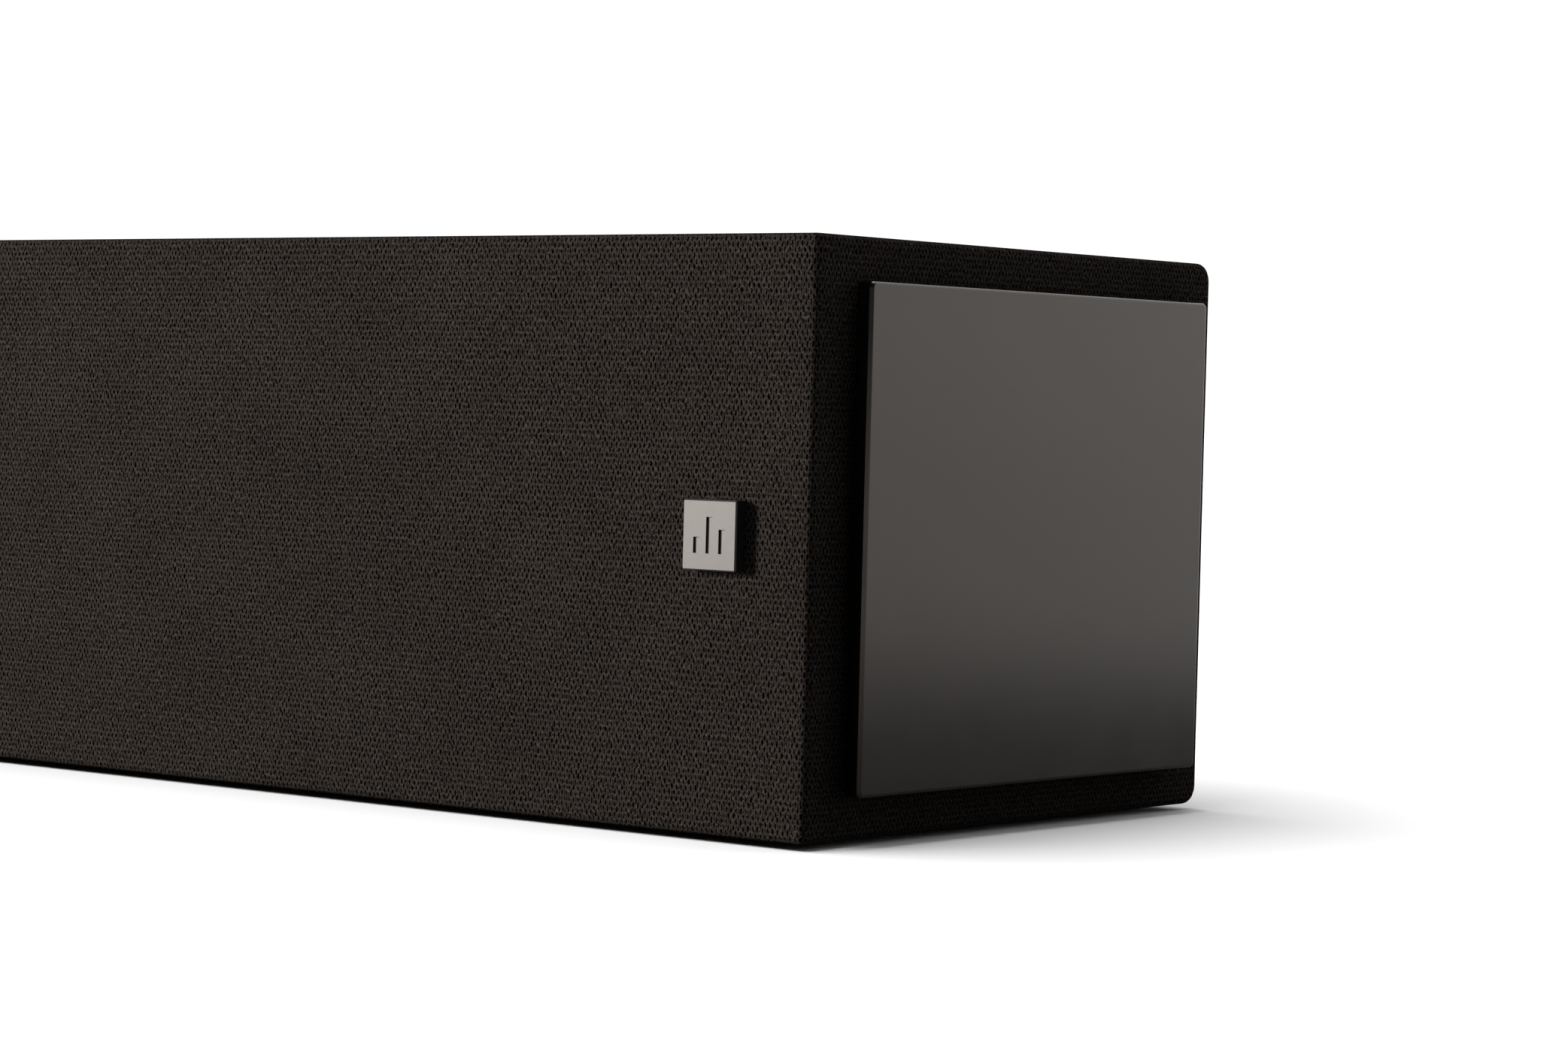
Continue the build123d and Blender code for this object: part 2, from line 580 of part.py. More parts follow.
DRIVER_FIXINGS = (
    (WOOFER_SCREWS, WOOFER_X, WOOFER_HEAD),
    (TWEETER_SCREWS, TWEETER_X, TWEETER_HEAD),
)
HEAD_FRONT = BAFFLE_FRONT - DRIVER_HEAD_HEIGHT

with BuildPart() as driver_screws:
    for places, drivers, head in DRIVER_FIXINGS:
        for x in drivers:
            for dx, dz in places:
                rod_y(x + dx, MID_Z + dz, BAFFLE_FRONT, SHELL_FRONT - 1, SCREW)
                rod_y(x + dx, MID_Z + dz, HEAD_FRONT, BAFFLE_FRONT, head)
                slot_floor = HEAD_FRONT + DRIVER_HEAD_SLOT_DEPTH
                rod_y(x + dx, MID_Z + dz, HEAD_FRONT, slot_floor, SCREW_SLOT, Mode.SUBTRACT)
keep(driver_screws, "driver_screws")

# ---------------------------------------------------------------- rear panel
FIN_WINDOW = (105.0, MID_Z + 14, MID_Z + 44)  # half length, lowest and highest Z
COLLAR = 1.5
COLLAR_DEPTH = 8.0
POST_RADIUS = 3.0
SUPPLY_FACE = REAR_INNER - 26  # back faces of the three boards, which stand on posts
AMPLIFIER_FACE = REAR_INNER - 19
INPUT_FACE = RECESS_FLOOR - REAR_THICKNESS - 13
BOARD = 1.6
SUPPLY_POSTS = [(x, MID_Z + z) for x in (-151, -112) for z in (-40, 40)]
AMPLIFIER_POSTS = [(x, MID_Z + 9) for x in (-97, 97)]
INPUT_POSTS = [(x, RECESS_Z + z) for x in (-38, 66) for z in (-19, 19)]
BOARD_POSTS = (
    (SUPPLY_POSTS, REAR_INNER, SUPPLY_FACE),
    (AMPLIFIER_POSTS, REAR_INNER, AMPLIFIER_FACE),
    (INPUT_POSTS, RECESS_FLOOR - REAR_THICKNESS, INPUT_FACE),
)
POST_SCREW = 1.1
SINK_DEPTH = 1.4
SINK_RADIUS = 2.8
SINK_SLOT_DEPTH = 0.9
POST_SCREW_LENGTH = 5.0

MAINS_X = -58.0
HDMI_X = -20.0
USB_X = 4.0
AUX_X = 27.0
SUBWOOFER_X = 50.0
MAINS_HOLE = (24.0, 16.0)
HDMI_HOLE = (15.4, 6.4)
USB_HOLE = (13.5, 6.1)
AUX_HOLE = 3.1
SUBWOOFER_HOLE = 4.3

with BuildPart() as rear_panel:
    with BuildSketch(Plane.XZ.offset(-REAR_INNER)):
        with Locations((0, MID_Z)):
            RectangleRounded(REAR_LENGTH, REAR_HEIGHT, REAR_CORNER)
    extrude(amount=-REAR_THICKNESS)
    chamfer(rear_panel.faces().sort_by(Axis.Y)[-1].edges(), SMALL_BEVEL)
    # collar round the cooling fins
    block(
        (-FIN_WINDOW[0] - COLLAR, REAR_INNER - COLLAR_DEPTH, FIN_WINDOW[1] - COLLAR),
        (FIN_WINDOW[0] + COLLAR, REAR_INNER, FIN_WINDOW[2] + COLLAR),
    )
    block(
        (-FIN_WINDOW[0], REAR_INNER - COLLAR_DEPTH, FIN_WINDOW[1]),
        (FIN_WINDOW[0], BACK, FIN_WINDOW[2]),
        Mode.SUBTRACT,
    )
    # socket recess
    block(
        (
            -RECESS_LENGTH / 2 - REAR_THICKNESS,
            RECESS_FLOOR - REAR_THICKNESS,
            RECESS_Z - RECESS_HEIGHT / 2 - REAR_THICKNESS,
        ),
        (RECESS_LENGTH / 2 + REAR_THICKNESS, REAR_INNER, RECESS_Z + RECESS_HEIGHT / 2 + REAR_THICKNESS),
    )
    block(
        (-RECESS_LENGTH / 2, RECESS_FLOOR, RECESS_Z - RECESS_HEIGHT / 2),
        (RECESS_LENGTH / 2, BACK, RECESS_Z + RECESS_HEIGHT / 2),
        Mode.SUBTRACT,
    )
    with BuildSketch(SOCKET_PLANE):
        with Locations((MAINS_X, 0)):
            Rectangle(*MAINS_HOLE)
        with Locations((HDMI_X, 0)):
            Rectangle(*HDMI_HOLE)
        with Locations((USB_X, 0)):
            Rectangle(*USB_HOLE)
        with Locations((AUX_X, 0)):
            Circle(AUX_HOLE)
        with Locations((SUBWOOFER_X, 0)):
            Circle(SUBWOOFER_HOLE)
    extrude(amount=-REAR_THICKNESS, mode=Mode.SUBTRACT)
    for places, root, face in BOARD_POSTS:
        for x, z in places:
            rod_y(x, z, face, root, POST_RADIUS)
            rod_y(x, z, face, face + POST_SCREW_LENGTH, POST_SCREW + HOLE_FIT, Mode.SUBTRACT)
    for x, z in REAR_SCREWS:
        rod_y(x, z, REAR_INNER, BACK, SCREW + HOLE_FIT, Mode.SUBTRACT)
        with Locations(Location((x, BACK - SINK_DEPTH / 2, z), (90, 0, 0))):
            Cone(SCREW + HOLE_FIT, SINK_RADIUS + HOLE_FIT, SINK_DEPTH, mode=Mode.SUBTRACT)
keep(rear_panel, "rear_panel")

with BuildPart() as rear_panel_screws:
    for x, z in REAR_SCREWS:
        rod_y(x, z, INNER_BACK + 1, BACK - SINK_DEPTH, SCREW)
        with Locations(Location((x, BACK - SINK_DEPTH / 2, z), (90, 0, 0))):
            Cone(SCREW, SINK_RADIUS, SINK_DEPTH)
        rod_y(x, z, BACK - SINK_SLOT_DEPTH, BACK, SCREW_SLOT, Mode.SUBTRACT)
keep(rear_panel_screws, "rear_panel_screws")

# ---------------------------------------------------------------- cooling fins and sockets
FIN_PITCH = 8.0
FIN_COUNT = 26
FIN_THICKNESS = 2.0
SINK_BASE = 4.0
FIN_CLEARANCE = 1.0
FIN_INSET = 0.5  # how far the fins stop short of the panel's outer face
SINK_BACK = REAR_INNER - COLLAR_DEPTH

with BuildPart() as heatsink:
    block(
        (-FIN_WINDOW[0] - COLLAR, SINK_BACK - SINK_BASE, FIN_WINDOW[1] - COLLAR),
        (FIN_WINDOW[0] + COLLAR, SINK_BACK, FIN_WINDOW[2] + COLLAR),
    )
    for step in range(FIN_COUNT):
        x = FIN_PITCH * (step - (FIN_COUNT - 1) / 2)
        block(
            (x - FIN_THICKNESS / 2, SINK_BACK, FIN_WINDOW[1] + FIN_CLEARANCE),
            (x + FIN_THICKNESS / 2, BACK - FIN_INSET, FIN_WINDOW[2] - FIN_CLEARANCE),
        )
keep(heatsink, "heatsink")

MAINS_CAVITY = (14.8, 8.6, 12.0)
MAINS_PIN = (1.2, 9.5, 4.3)  # radius, length and distance from the middle
MAINS_FACE = RECESS_FLOOR + 1.5
MAINS_FLANGE = (29.0, 21.0, 2.0)  # length, height and corner radius
MAINS_BODY_DEPTH = 17.0
MAINS_TAB = (3.0, 5.0, 0.8)  # solder tabs behind the pins
SOCKET_PROUD = 1.0
JACK_BORE = 1.8
PHONO_PROUD = 8.0
PHONO_BORE = 1.6

with BuildPart() as mains_inlet:
    with BuildSketch(SOCKET_PLANE):
        with Locations((MAINS_X, 0)):
            RectangleRounded(*MAINS_FLANGE)
    extrude(amount=MAINS_FACE - RECESS_FLOOR)
    with BuildSketch(SOCKET_PLANE):
        with Locations((MAINS_X, 0)):
            Rectangle(MAINS_HOLE[0] - FIT, MAINS_HOLE[1] - FIT)
    extrude(amount=-MAINS_BODY_DEPTH)
    with BuildSketch(Plane(origin=(0, MAINS_FACE, RECESS_Z), x_dir=(1, 0, 0), z_dir=(0, 1, 0))):
        with Locations((MAINS_X, 0)):
            SlotOverall(MAINS_CAVITY[0], MAINS_CAVITY[1])
    extrude(amount=-MAINS_CAVITY[2], mode=Mode.SUBTRACT)
    for side in (-1, 1):
        pin_x = MAINS_X + side * MAINS_PIN[2]
        pin_root = MAINS_FACE - MAINS_CAVITY[2]
        rod_y(pin_x, RECESS_Z, pin_root, pin_root + MAINS_PIN[1], MAINS_PIN[0])
        with Locations((pin_x, RECESS_FLOOR - MAINS_BODY_DEPTH - MAINS_TAB[1] / 2, RECESS_Z)):
            Box(*MAINS_TAB)
keep(mains_inlet, "mains_inlet")


def shell_socket(x, outer, inner, tongue, cavity_depth, tongue_offset):
    """A pressed-metal socket with a contact tongue, such as a video or a data socket."""
    face = RECESS_FLOOR + SOCKET_PROUD
    with BuildPart() as piece:
        block(
            (x - outer[0] / 2, INPUT_FACE, RECESS_Z - outer[1] / 2),
            (x + outer[0] / 2, face, RECESS_Z + outer[1] / 2),
        )
        block(
            (x - inner[0] / 2, face - cavity_depth, RECESS_Z - inner[1] / 2),
            (x + inner[0] / 2, face, RECESS_Z + inner[1] / 2),
            Mode.SUBTRACT,
        )
        middle = RECESS_Z + tongue_offset
        block(
            (x - tongue[0] / 2, face - cavity_depth, middle - tongue[1] / 2),
            (x + tongue[0] / 2, face - 1, middle + tongue[1] / 2),
        )
    return piece


def jack_socket(x, radius, body, proud, bore, bore_depth):
    """A round socket that stands on a square body behind the panel."""
    panel_back = RECESS_FLOOR - REAR_THICKNESS
    face = RECESS_FLOOR + proud
    with BuildPart() as piece:
        block(
            (x - body / 2, INPUT_FACE, RECESS_Z - body / 2),
            (x + body / 2, panel_back, RECESS_Z + body / 2),
        )
        rod_y(x, RECESS_Z, panel_back, face, radius - HOLE_FIT)
        rod_y(x, RECESS_Z, face - bore_depth, face, bore, Mode.SUBTRACT)
    return piece


keep(shell_socket(HDMI_X, (15.0, 6.0), (14.0, 4.6), (9.6, 1.1), 10.0, 0.4), "hdmi_socket")
keep(shell_socket(USB_X, (13.1, 5.7), (12.3, 4.9), (11.0, 1.8), 10.0, 0.9), "usb_socket")

keep(jack_socket(AUX_X, AUX_HOLE, 9.0, SOCKET_PROUD, JACK_BORE, 15.0), "aux_socket")
keep(jack_socket(SUBWOOFER_X, SUBWOOFER_HOLE, 10.0, PHONO_PROUD, PHONO_BORE, 10.0), "subwoofer_socket")

# ---------------------------------------------------------------- boards
with BuildPart() as input_board:
    face = INPUT_FACE - BOARD
    block((-42, face, RECESS_Z - 22), (70, INPUT_FACE, RECESS_Z + 22))
    block((-10, face - 2, RECESS_Z - 9), (8, face, RECESS_Z + 9))  # signal processor
    block((22, face - 1.5, RECESS_Z - 5), (32, face, RECESS_Z + 5))  # video switch
    block((44, face - 2.6, RECESS_Z - 8), (60, face, RECESS_Z + 8))  # radio module
    for x, z in INPUT_POSTS:
        rod_y(x, z, face, INPUT_FACE, POST_SCREW + HOLE_FIT, Mode.SUBTRACT)
keep(input_board, "input_board")

with BuildPart() as amplifier_board:
    face = AMPLIFIER_FACE - BOARD
    block((-102, face, MID_Z + 6.6), (102, AMPLIFIER_FACE, MID_Z + 46))
    for step in range(4):
        chip_x = 48 * (step - 1.5)
        block((chip_x - 9, AMPLIFIER_FACE, MID_Z + 20), (chip_x + 9, SINK_BACK - SINK_BASE, MID_Z + 38))
        block((chip_x - 14, face - 10, MID_Z + 14), (chip_x - 2, face, MID_Z + 26))  # output coils
        block((chip_x + 2, face - 10, MID_Z + 14), (chip_x + 14, face, MID_Z + 26))
        rod_y(chip_x, MID_Z + 36, face - 20, face, 5)  # reservoir capacitor
    for x, z in AMPLIFIER_POSTS:
        rod_y(x, z, face, AMPLIFIER_FACE, POST_SCREW + HOLE_FIT, Mode.SUBTRACT)
keep(amplifier_board, "amplifier_board")

with BuildPart() as power_supply_board:
    face = SUPPLY_FACE - BOARD
    block((-155, face, MID_Z - 44), (-108, SUPPLY_FACE, MID_Z + 44))
    block((-147, face - 24, MID_Z - 14), (-117, face, MID_Z + 14))  # transformer
    block((-148, face - 16, MID_Z - 34), (-130, face, MID_Z - 20))  # mains filter
    for x in (-140, -122):
        rod_y(x, MID_Z + 27, face - 30, face, 8)  # smoothing capacitors
    for x, z in SUPPLY_POSTS:
        rod_y(x, z, face, SUPPLY_FACE, POST_SCREW + HOLE_FIT, Mode.SUBTRACT)
keep(power_supply_board, "power_supply_board")

with BuildPart() as remote_sensor:
    block(
        (-SENSOR_BOARD[0], SENSOR_BOARD_FRONT, SENSOR_BOARD[1]),
        (SENSOR_BOARD[0], SENSOR_BOARD_FRONT + BOARD, SENSOR_BOARD[2]),
    )
    for x in SENSOR_EYES:
        eye_front = SENSOR_BOARD_FRONT - SENSOR_EYE_LENGTH
        rod_y(x, SENSOR_Z, eye_front, SENSOR_BOARD_FRONT, SENSOR_EYE_RADIUS)
    fillet(remote_sensor.faces().group_by(Axis.Y)[0].edges(), SENSOR_EYE_ROUNDING)
keep(remote_sensor, "remote_sensor")

# ---------------------------------------------------------------- control panel and buttons
BUTTON_TOP = TOP - 0.2
BUTTON_FLANGE = 8.0
BUTTON_FLANGE_TOP = TOP - CONTROL_THICKNESS - 0.2
BUTTON_FLANGE_BOTTOM = BUTTON_FLANGE_TOP - 1.2
BUTTON_STEM_END = BUTTON_FLANGE_BOTTOM - 1.2
BUTTON_GAP = 0.15
CONTROL_BOARD_TOP = TOP - 9.0
SWITCH_TOP = BUTTON_STEM_END - BUTTON_TRAVEL - 0.1
CONTROL_POSTS = [(x, CONTROL_Y + y) for x, y in corner_places(115, 14)]
CONTROL_POST_RADIUS = 2.2
CONTROL_BOARD = (60.0, 10.5)  # half sizes of the board
SWITCH_SIZE = 3.0  # half a switch's side
SWITCH_CAP_RADIUS = 1.7
SWITCH_CAP_HEIGHT = 0.5
BUTTON_STEM = 1.6
BUTTON_ROUNDING = 0.5
SYMBOL_DEPTH = 0.3
SYMBOL_LINE = 0.9
SYMBOL_SIZE = 6.0

with BuildPart() as control_panel:
    with BuildSketch(Plane.XY.offset(TOP - CONTROL_THICKNESS)):
        with Locations((0, CONTROL_Y)):
            RectangleRounded(CONTROL_LENGTH, CONTROL_WIDTH, CONTROL_CORNER)
    extrude(amount=CONTROL_THICKNESS)
    chamfer(control_panel.faces().sort_by(Axis.Z)[-1].edges(), SMALL_BEVEL)
    for x in BUTTON_X:
        rod_z(x, CONTROL_Y, TOP - CONTROL_THICKNESS, TOP, BUTTON_RADIUS + BUTTON_GAP, Mode.SUBTRACT)
    for x, y in CONTROL_POSTS:
        rod_z(x, y, CONTROL_BOARD_TOP, TOP - CONTROL_THICKNESS, CONTROL_POST_RADIUS)
        hole_end = CONTROL_BOARD_TOP + POST_SCREW_LENGTH
        rod_z(x, y, CONTROL_BOARD_TOP, hole_end, POST_SCREW + HOLE_FIT, Mode.SUBTRACT)
keep(control_panel, "control_panel")

with BuildPart() as control_board:
    block(
        (-CONTROL_BOARD[0], CONTROL_Y - CONTROL_BOARD[1], CONTROL_BOARD_TOP - BOARD),
        (CONTROL_BOARD[0], CONTROL_Y + CONTROL_BOARD[1], CONTROL_BOARD_TOP),
    )
    for x in BUTTON_X:
        cap_bottom = SWITCH_TOP - SWITCH_CAP_HEIGHT
        block(
            (x - SWITCH_SIZE, CONTROL_Y - SWITCH_SIZE, CONTROL_BOARD_TOP),
            (x + SWITCH_SIZE, CONTROL_Y + SWITCH_SIZE, cap_bottom),
        )
        rod_z(x, CONTROL_Y, cap_bottom, SWITCH_TOP, SWITCH_CAP_RADIUS)
    for x, y in CONTROL_POSTS:
        rod_z(x, y, CONTROL_BOARD_TOP - BOARD, CONTROL_BOARD_TOP, POST_SCREW + HOLE_FIT, Mode.SUBTRACT)
keep(control_board, "control_board")


def power_symbol():
    """An upright stroke in an open ring."""
    with BuildSketch() as symbol:
        Circle(SYMBOL_SIZE / 2)
        Circle(SYMBOL_SIZE / 2 - SYMBOL_LINE, mode=Mode.SUBTRACT)
        with Locations((0, SYMBOL_SIZE / 2)):
            Rectangle(SYMBOL_SIZE / 2, SYMBOL_SIZE / 2, mode=Mode.SUBTRACT)
        with Locations((0, SYMBOL_SIZE * 0.4)):
            Rectangle(SYMBOL_LINE, SYMBOL_SIZE * 0.6)
    return symbol.sketch


def source_symbol():
    """An open frame with an arrow's stroke into it."""
    with BuildSketch() as symbol:
        Rectangle(SYMBOL_SIZE, SYMBOL_SIZE * 0.85)
        Rectangle(SYMBOL_SIZE - 2 * SYMBOL_LINE, SYMBOL_SIZE * 0.85 - 2 * SYMBOL_LINE, mode=Mode.SUBTRACT)
        with Locations((-SYMBOL_SIZE / 4, 0)):
            Rectangle(SYMBOL_SIZE * 0.6, SYMBOL_LINE)
    return symbol.sketch


def minus_symbol():
    """A single stroke."""
    with BuildSketch() as symbol:
        Rectangle(SYMBOL_SIZE, SYMBOL_LINE)
    return symbol.sketch


def plus_symbol():
    """Two crossed strokes."""
    with BuildSketch() as symbol:
        Rectangle(SYMBOL_SIZE, SYMBOL_LINE)
        Rectangle(SYMBOL_LINE, SYMBOL_SIZE)
    return symbol.sketch


def pairing_symbol():
    """Three dots in a row."""
    with BuildSketch() as symbol:
        with GridLocations(SYMBOL_SIZE * 0.43, 1, 3, 1):
            Circle(SYMBOL_SIZE / 8)
    return symbol.sketch


BUTTONS = (
    ("button_power", power_symbol()),
    ("button_source", source_symbol()),
    ("button_volume_down", minus_symbol()),
    ("button_volume_up", plus_symbol()),
    ("button_pairing", pairing_symbol()),
)

for x, (label, symbol) in zip(BUTTON_X, BUTTONS):
    with BuildPart() as button:
        rod_z(x, CONTROL_Y, BUTTON_FLANGE_BOTTOM, BUTTON_TOP, BUTTON_RADIUS)
        fillet(button.faces().sort_by(Axis.Z)[-1].edges(), BUTTON_ROUNDING)
        rod_z(x, CONTROL_Y, BUTTON_FLANGE_BOTTOM, BUTTON_FLANGE_TOP, BUTTON_FLANGE)
        rod_z(x, CONTROL_Y, BUTTON_STEM_END, BUTTON_FLANGE_BOTTOM, BUTTON_STEM)
        with BuildSketch(Plane(origin=(x, CONTROL_Y, BUTTON_TOP))):
            add(symbol)
        extrude(amount=-SYMBOL_DEPTH, mode=Mode.SUBTRACT)
    keep(button, label)

# ---------------------------------------------------------------- screws of the boards
HEAD_RADIUS = 2.1
HEAD_HEIGHT = 1.3

with BuildPart() as board_screws:
    for places, root, back_face in BOARD_POSTS:
        for x, z in places:
            rod_y(x, z, back_face - BOARD, back_face + POST_SCREW_LENGTH - 0.5, POST_SCREW)
            rod_y(x, z, back_face - BOARD - HEAD_HEIGHT, back_face - BOARD, HEAD_RADIUS)
    for x, y in CONTROL_POSTS:
        under = CONTROL_BOARD_TOP - BOARD
        rod_z(x, y, under, CONTROL_BOARD_TOP + POST_SCREW_LENGTH - 0.5, POST_SCREW)
        rod_z(x, y, under - HEAD_HEIGHT, under, HEAD_RADIUS)
keep(board_screws, "board_screws")
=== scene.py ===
"""Looks of the soundbar: knitted cloth sleeve, satin end panels, metal badge, rear and top details.

Metres. X runs along the bar, the front faces -Y and +Z is up, as in the frame.
"""
import json
import math

import bmesh
import bpy
from mathutils import Matrix, Vector, noise


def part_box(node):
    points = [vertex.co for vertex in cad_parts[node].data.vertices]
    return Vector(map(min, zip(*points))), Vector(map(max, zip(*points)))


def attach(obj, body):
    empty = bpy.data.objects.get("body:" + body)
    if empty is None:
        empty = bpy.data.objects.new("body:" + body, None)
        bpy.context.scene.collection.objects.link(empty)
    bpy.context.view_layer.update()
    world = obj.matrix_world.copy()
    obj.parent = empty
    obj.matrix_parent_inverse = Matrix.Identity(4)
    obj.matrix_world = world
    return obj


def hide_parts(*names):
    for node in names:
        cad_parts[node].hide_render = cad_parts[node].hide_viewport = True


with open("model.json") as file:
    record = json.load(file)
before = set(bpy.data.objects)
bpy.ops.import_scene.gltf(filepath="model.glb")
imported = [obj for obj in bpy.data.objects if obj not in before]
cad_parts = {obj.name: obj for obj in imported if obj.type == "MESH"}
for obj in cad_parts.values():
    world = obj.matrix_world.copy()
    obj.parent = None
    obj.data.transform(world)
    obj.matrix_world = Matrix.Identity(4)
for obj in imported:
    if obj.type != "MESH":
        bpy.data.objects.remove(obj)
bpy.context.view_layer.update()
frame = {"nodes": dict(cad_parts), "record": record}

MM = 0.001

# ---------------------------------------------------------------- places, from the frame
CLOTH_LOW, CLOTH_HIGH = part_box("fabric_sleeve")
HALF = (CLOTH_HIGH - CLOTH_LOW) / 2
MIDDLE = (CLOTH_HIGH + CLOTH_LOW) / 2
EDGE_RADIUS = 2 * MM
BACK_EDGE_RADIUS = 5 * MM
CLOTH_THICKNESS = 0.9 * MM


# ---------------------------------------------------------------- node helpers
class Nodes:
    """A material's node tree, with short calls for the nodes that are used most."""

    def __init__(self, name):
        self.material = bpy.data.materials.new(name)
        self.material.use_nodes = True
        self.tree = self.material.node_tree
        self.tree.nodes.clear()

    def add(self, kind, inputs=None, **settings):
        node = self.tree.nodes.new(kind)
        for key, value in settings.items():
            setattr(node, key, value)
        for key, value in (inputs or {}).items():
            socket = node.inputs[key]
            if isinstance(value, bpy.types.NodeSocket):
                self.tree.links.new(value, socket)
            else:
                socket.default_value = value
        return node

    def math(self, operation, a, b=0.0, c=0.0, clamp=False):
        node = self.add("ShaderNodeMath", {0: a, 1: b, 2: c}, operation=operation, use_clamp=clamp)
        return node.outputs[0]

    def mix(self, factor, a, b):
        node = self.add("ShaderNodeMix", data_type="RGBA")
        for socket, value in ((node.inputs[0], factor), (node.inputs[6], a), (node.inputs[7], b)):
            if isinstance(value, bpy.types.NodeSocket):
                self.tree.links.new(value, socket)
            else:
                socket.default_value = value
        return node.outputs[2]

    def range(self, value, low, high, to_low=0.0, to_high=1.0, smooth=True):
        node = self.add(
            "ShaderNodeMapRange",
            {"Value": value, "From Min": low, "From Max": high, "To Min": to_low, "To Max": to_high},
            interpolation_type="SMOOTHSTEP" if smooth else "LINEAR",
        )
        return node.outputs[0]

    def noise(self, scale, detail=3.0, roughness=0.5, vector=None, stretch=None):
        """Noise in the object's own space; stretch scales it along X, Y and Z."""
        if vector is None:
            vector = self.add("ShaderNodeTexCoord").outputs["Object"]
        if stretch is not None:
            vector = self.add("ShaderNodeMapping", {"Vector": vector, "Scale": stretch}).outputs[0]
        node = self.add(
            "ShaderNodeTexNoise",
            {"Vector": vector, "Scale": scale, "Detail": detail, "Roughness": roughness},
        )
        return node.outputs[0]

    def bump(self, height, distance, strength=1.0, normal=None):
        inputs = {"Height": height, "Distance": distance, "Strength": strength}
        if normal is not None:
            inputs["Normal"] = normal
        return self.add("ShaderNodeBump", inputs).outputs[0]

    def principled(self, **inputs):
        names = {key.replace("_", " "): value for key, value in inputs.items()}
        shader = self.add("ShaderNodeBsdfPrincipled", names)
        output = self.add("ShaderNodeOutputMaterial")
        self.tree.links.new(shader.outputs[0], output.inputs[0])
        return self.material


def rgb(red, green, blue):
    return (red, green, blue, 1.0)


def scaled(colour, factor):
    return tuple(channel * factor for channel in colour[:3]) + (1.0,)


# ---------------------------------------------------------------- materials
KNIT_PITCH = 1.54 * MM  # between the holes of one row
KNIT_ROW = 1.43 * MM  # between the rows, which are staggered by half a pitch
HOLE_WIDTH = 0.32  # of the pitch
HOLE_HEIGHT = 0.84  # of the row
HOLE_STRETCH = (0.72, 1.3)  # distances from a hole, for the largest and the smallest holes
STRAY_ACROSS = 0.8  # of the pitch: how far the holes lie off an even spacing
STRAY_ALONG = 0.45
LOOP_REACH = 1.65  # the loop of yarn round a hole, in hole radii from the hole's middle
FILAMENT_SCALE = 3300.0
FILAMENT_STRETCH = (1.15, 0.28, 1.0)
FILAMENT_SLANT = 0.8
YARN_SHADE = 0.13  # lightness between the filaments, as a part of the cloth's colour
FILAMENT_GRAIN_AND_SHEEN = 0.64  # what a filament adds to it: its own streaky grain and a painted sheen
LOOP_PAINTED_HIGHLIGHT = 0.55  # what a loop adds to it: a painted highlight on the rounded yarn
HOLE_SHADE = 0.02
PATCH_LIGHT = (0.9, 1.1)
KNIT_RELIEF = 0.25 * MM
CLOTH_COLOUR = rgb(0.0490, 0.0420, 0.0378)


def hole_distance(n, across, along):
    """Distance to the nearest hole's middle, in radii of the hole, which is a tall ellipse."""
    distances = []
    for shift in (0.0, 0.5):
        reaches = []
        for value, half in ((across, HOLE_WIDTH / 2), (along, HOLE_HEIGHT / 4)):
            part = n.math("SUBTRACT", n.math("FRACT", n.math("ADD", value, shift)), 0.5)
            reaches.append(n.math("POWER", n.math("DIVIDE", n.math("ABSOLUTE", part), half), 2.0))
        distances.append(n.math("SQRT", n.math("ADD", reaches[0], reaches[1])))
    nearest = n.math("MINIMUM", distances[0], distances[1])
    stretch = n.range(n.noise(700.0, 1.0, 0.5), 0.3, 0.7, *HOLE_STRETCH, smooth=False)
    return n.math("MULTIPLY", nearest, stretch)


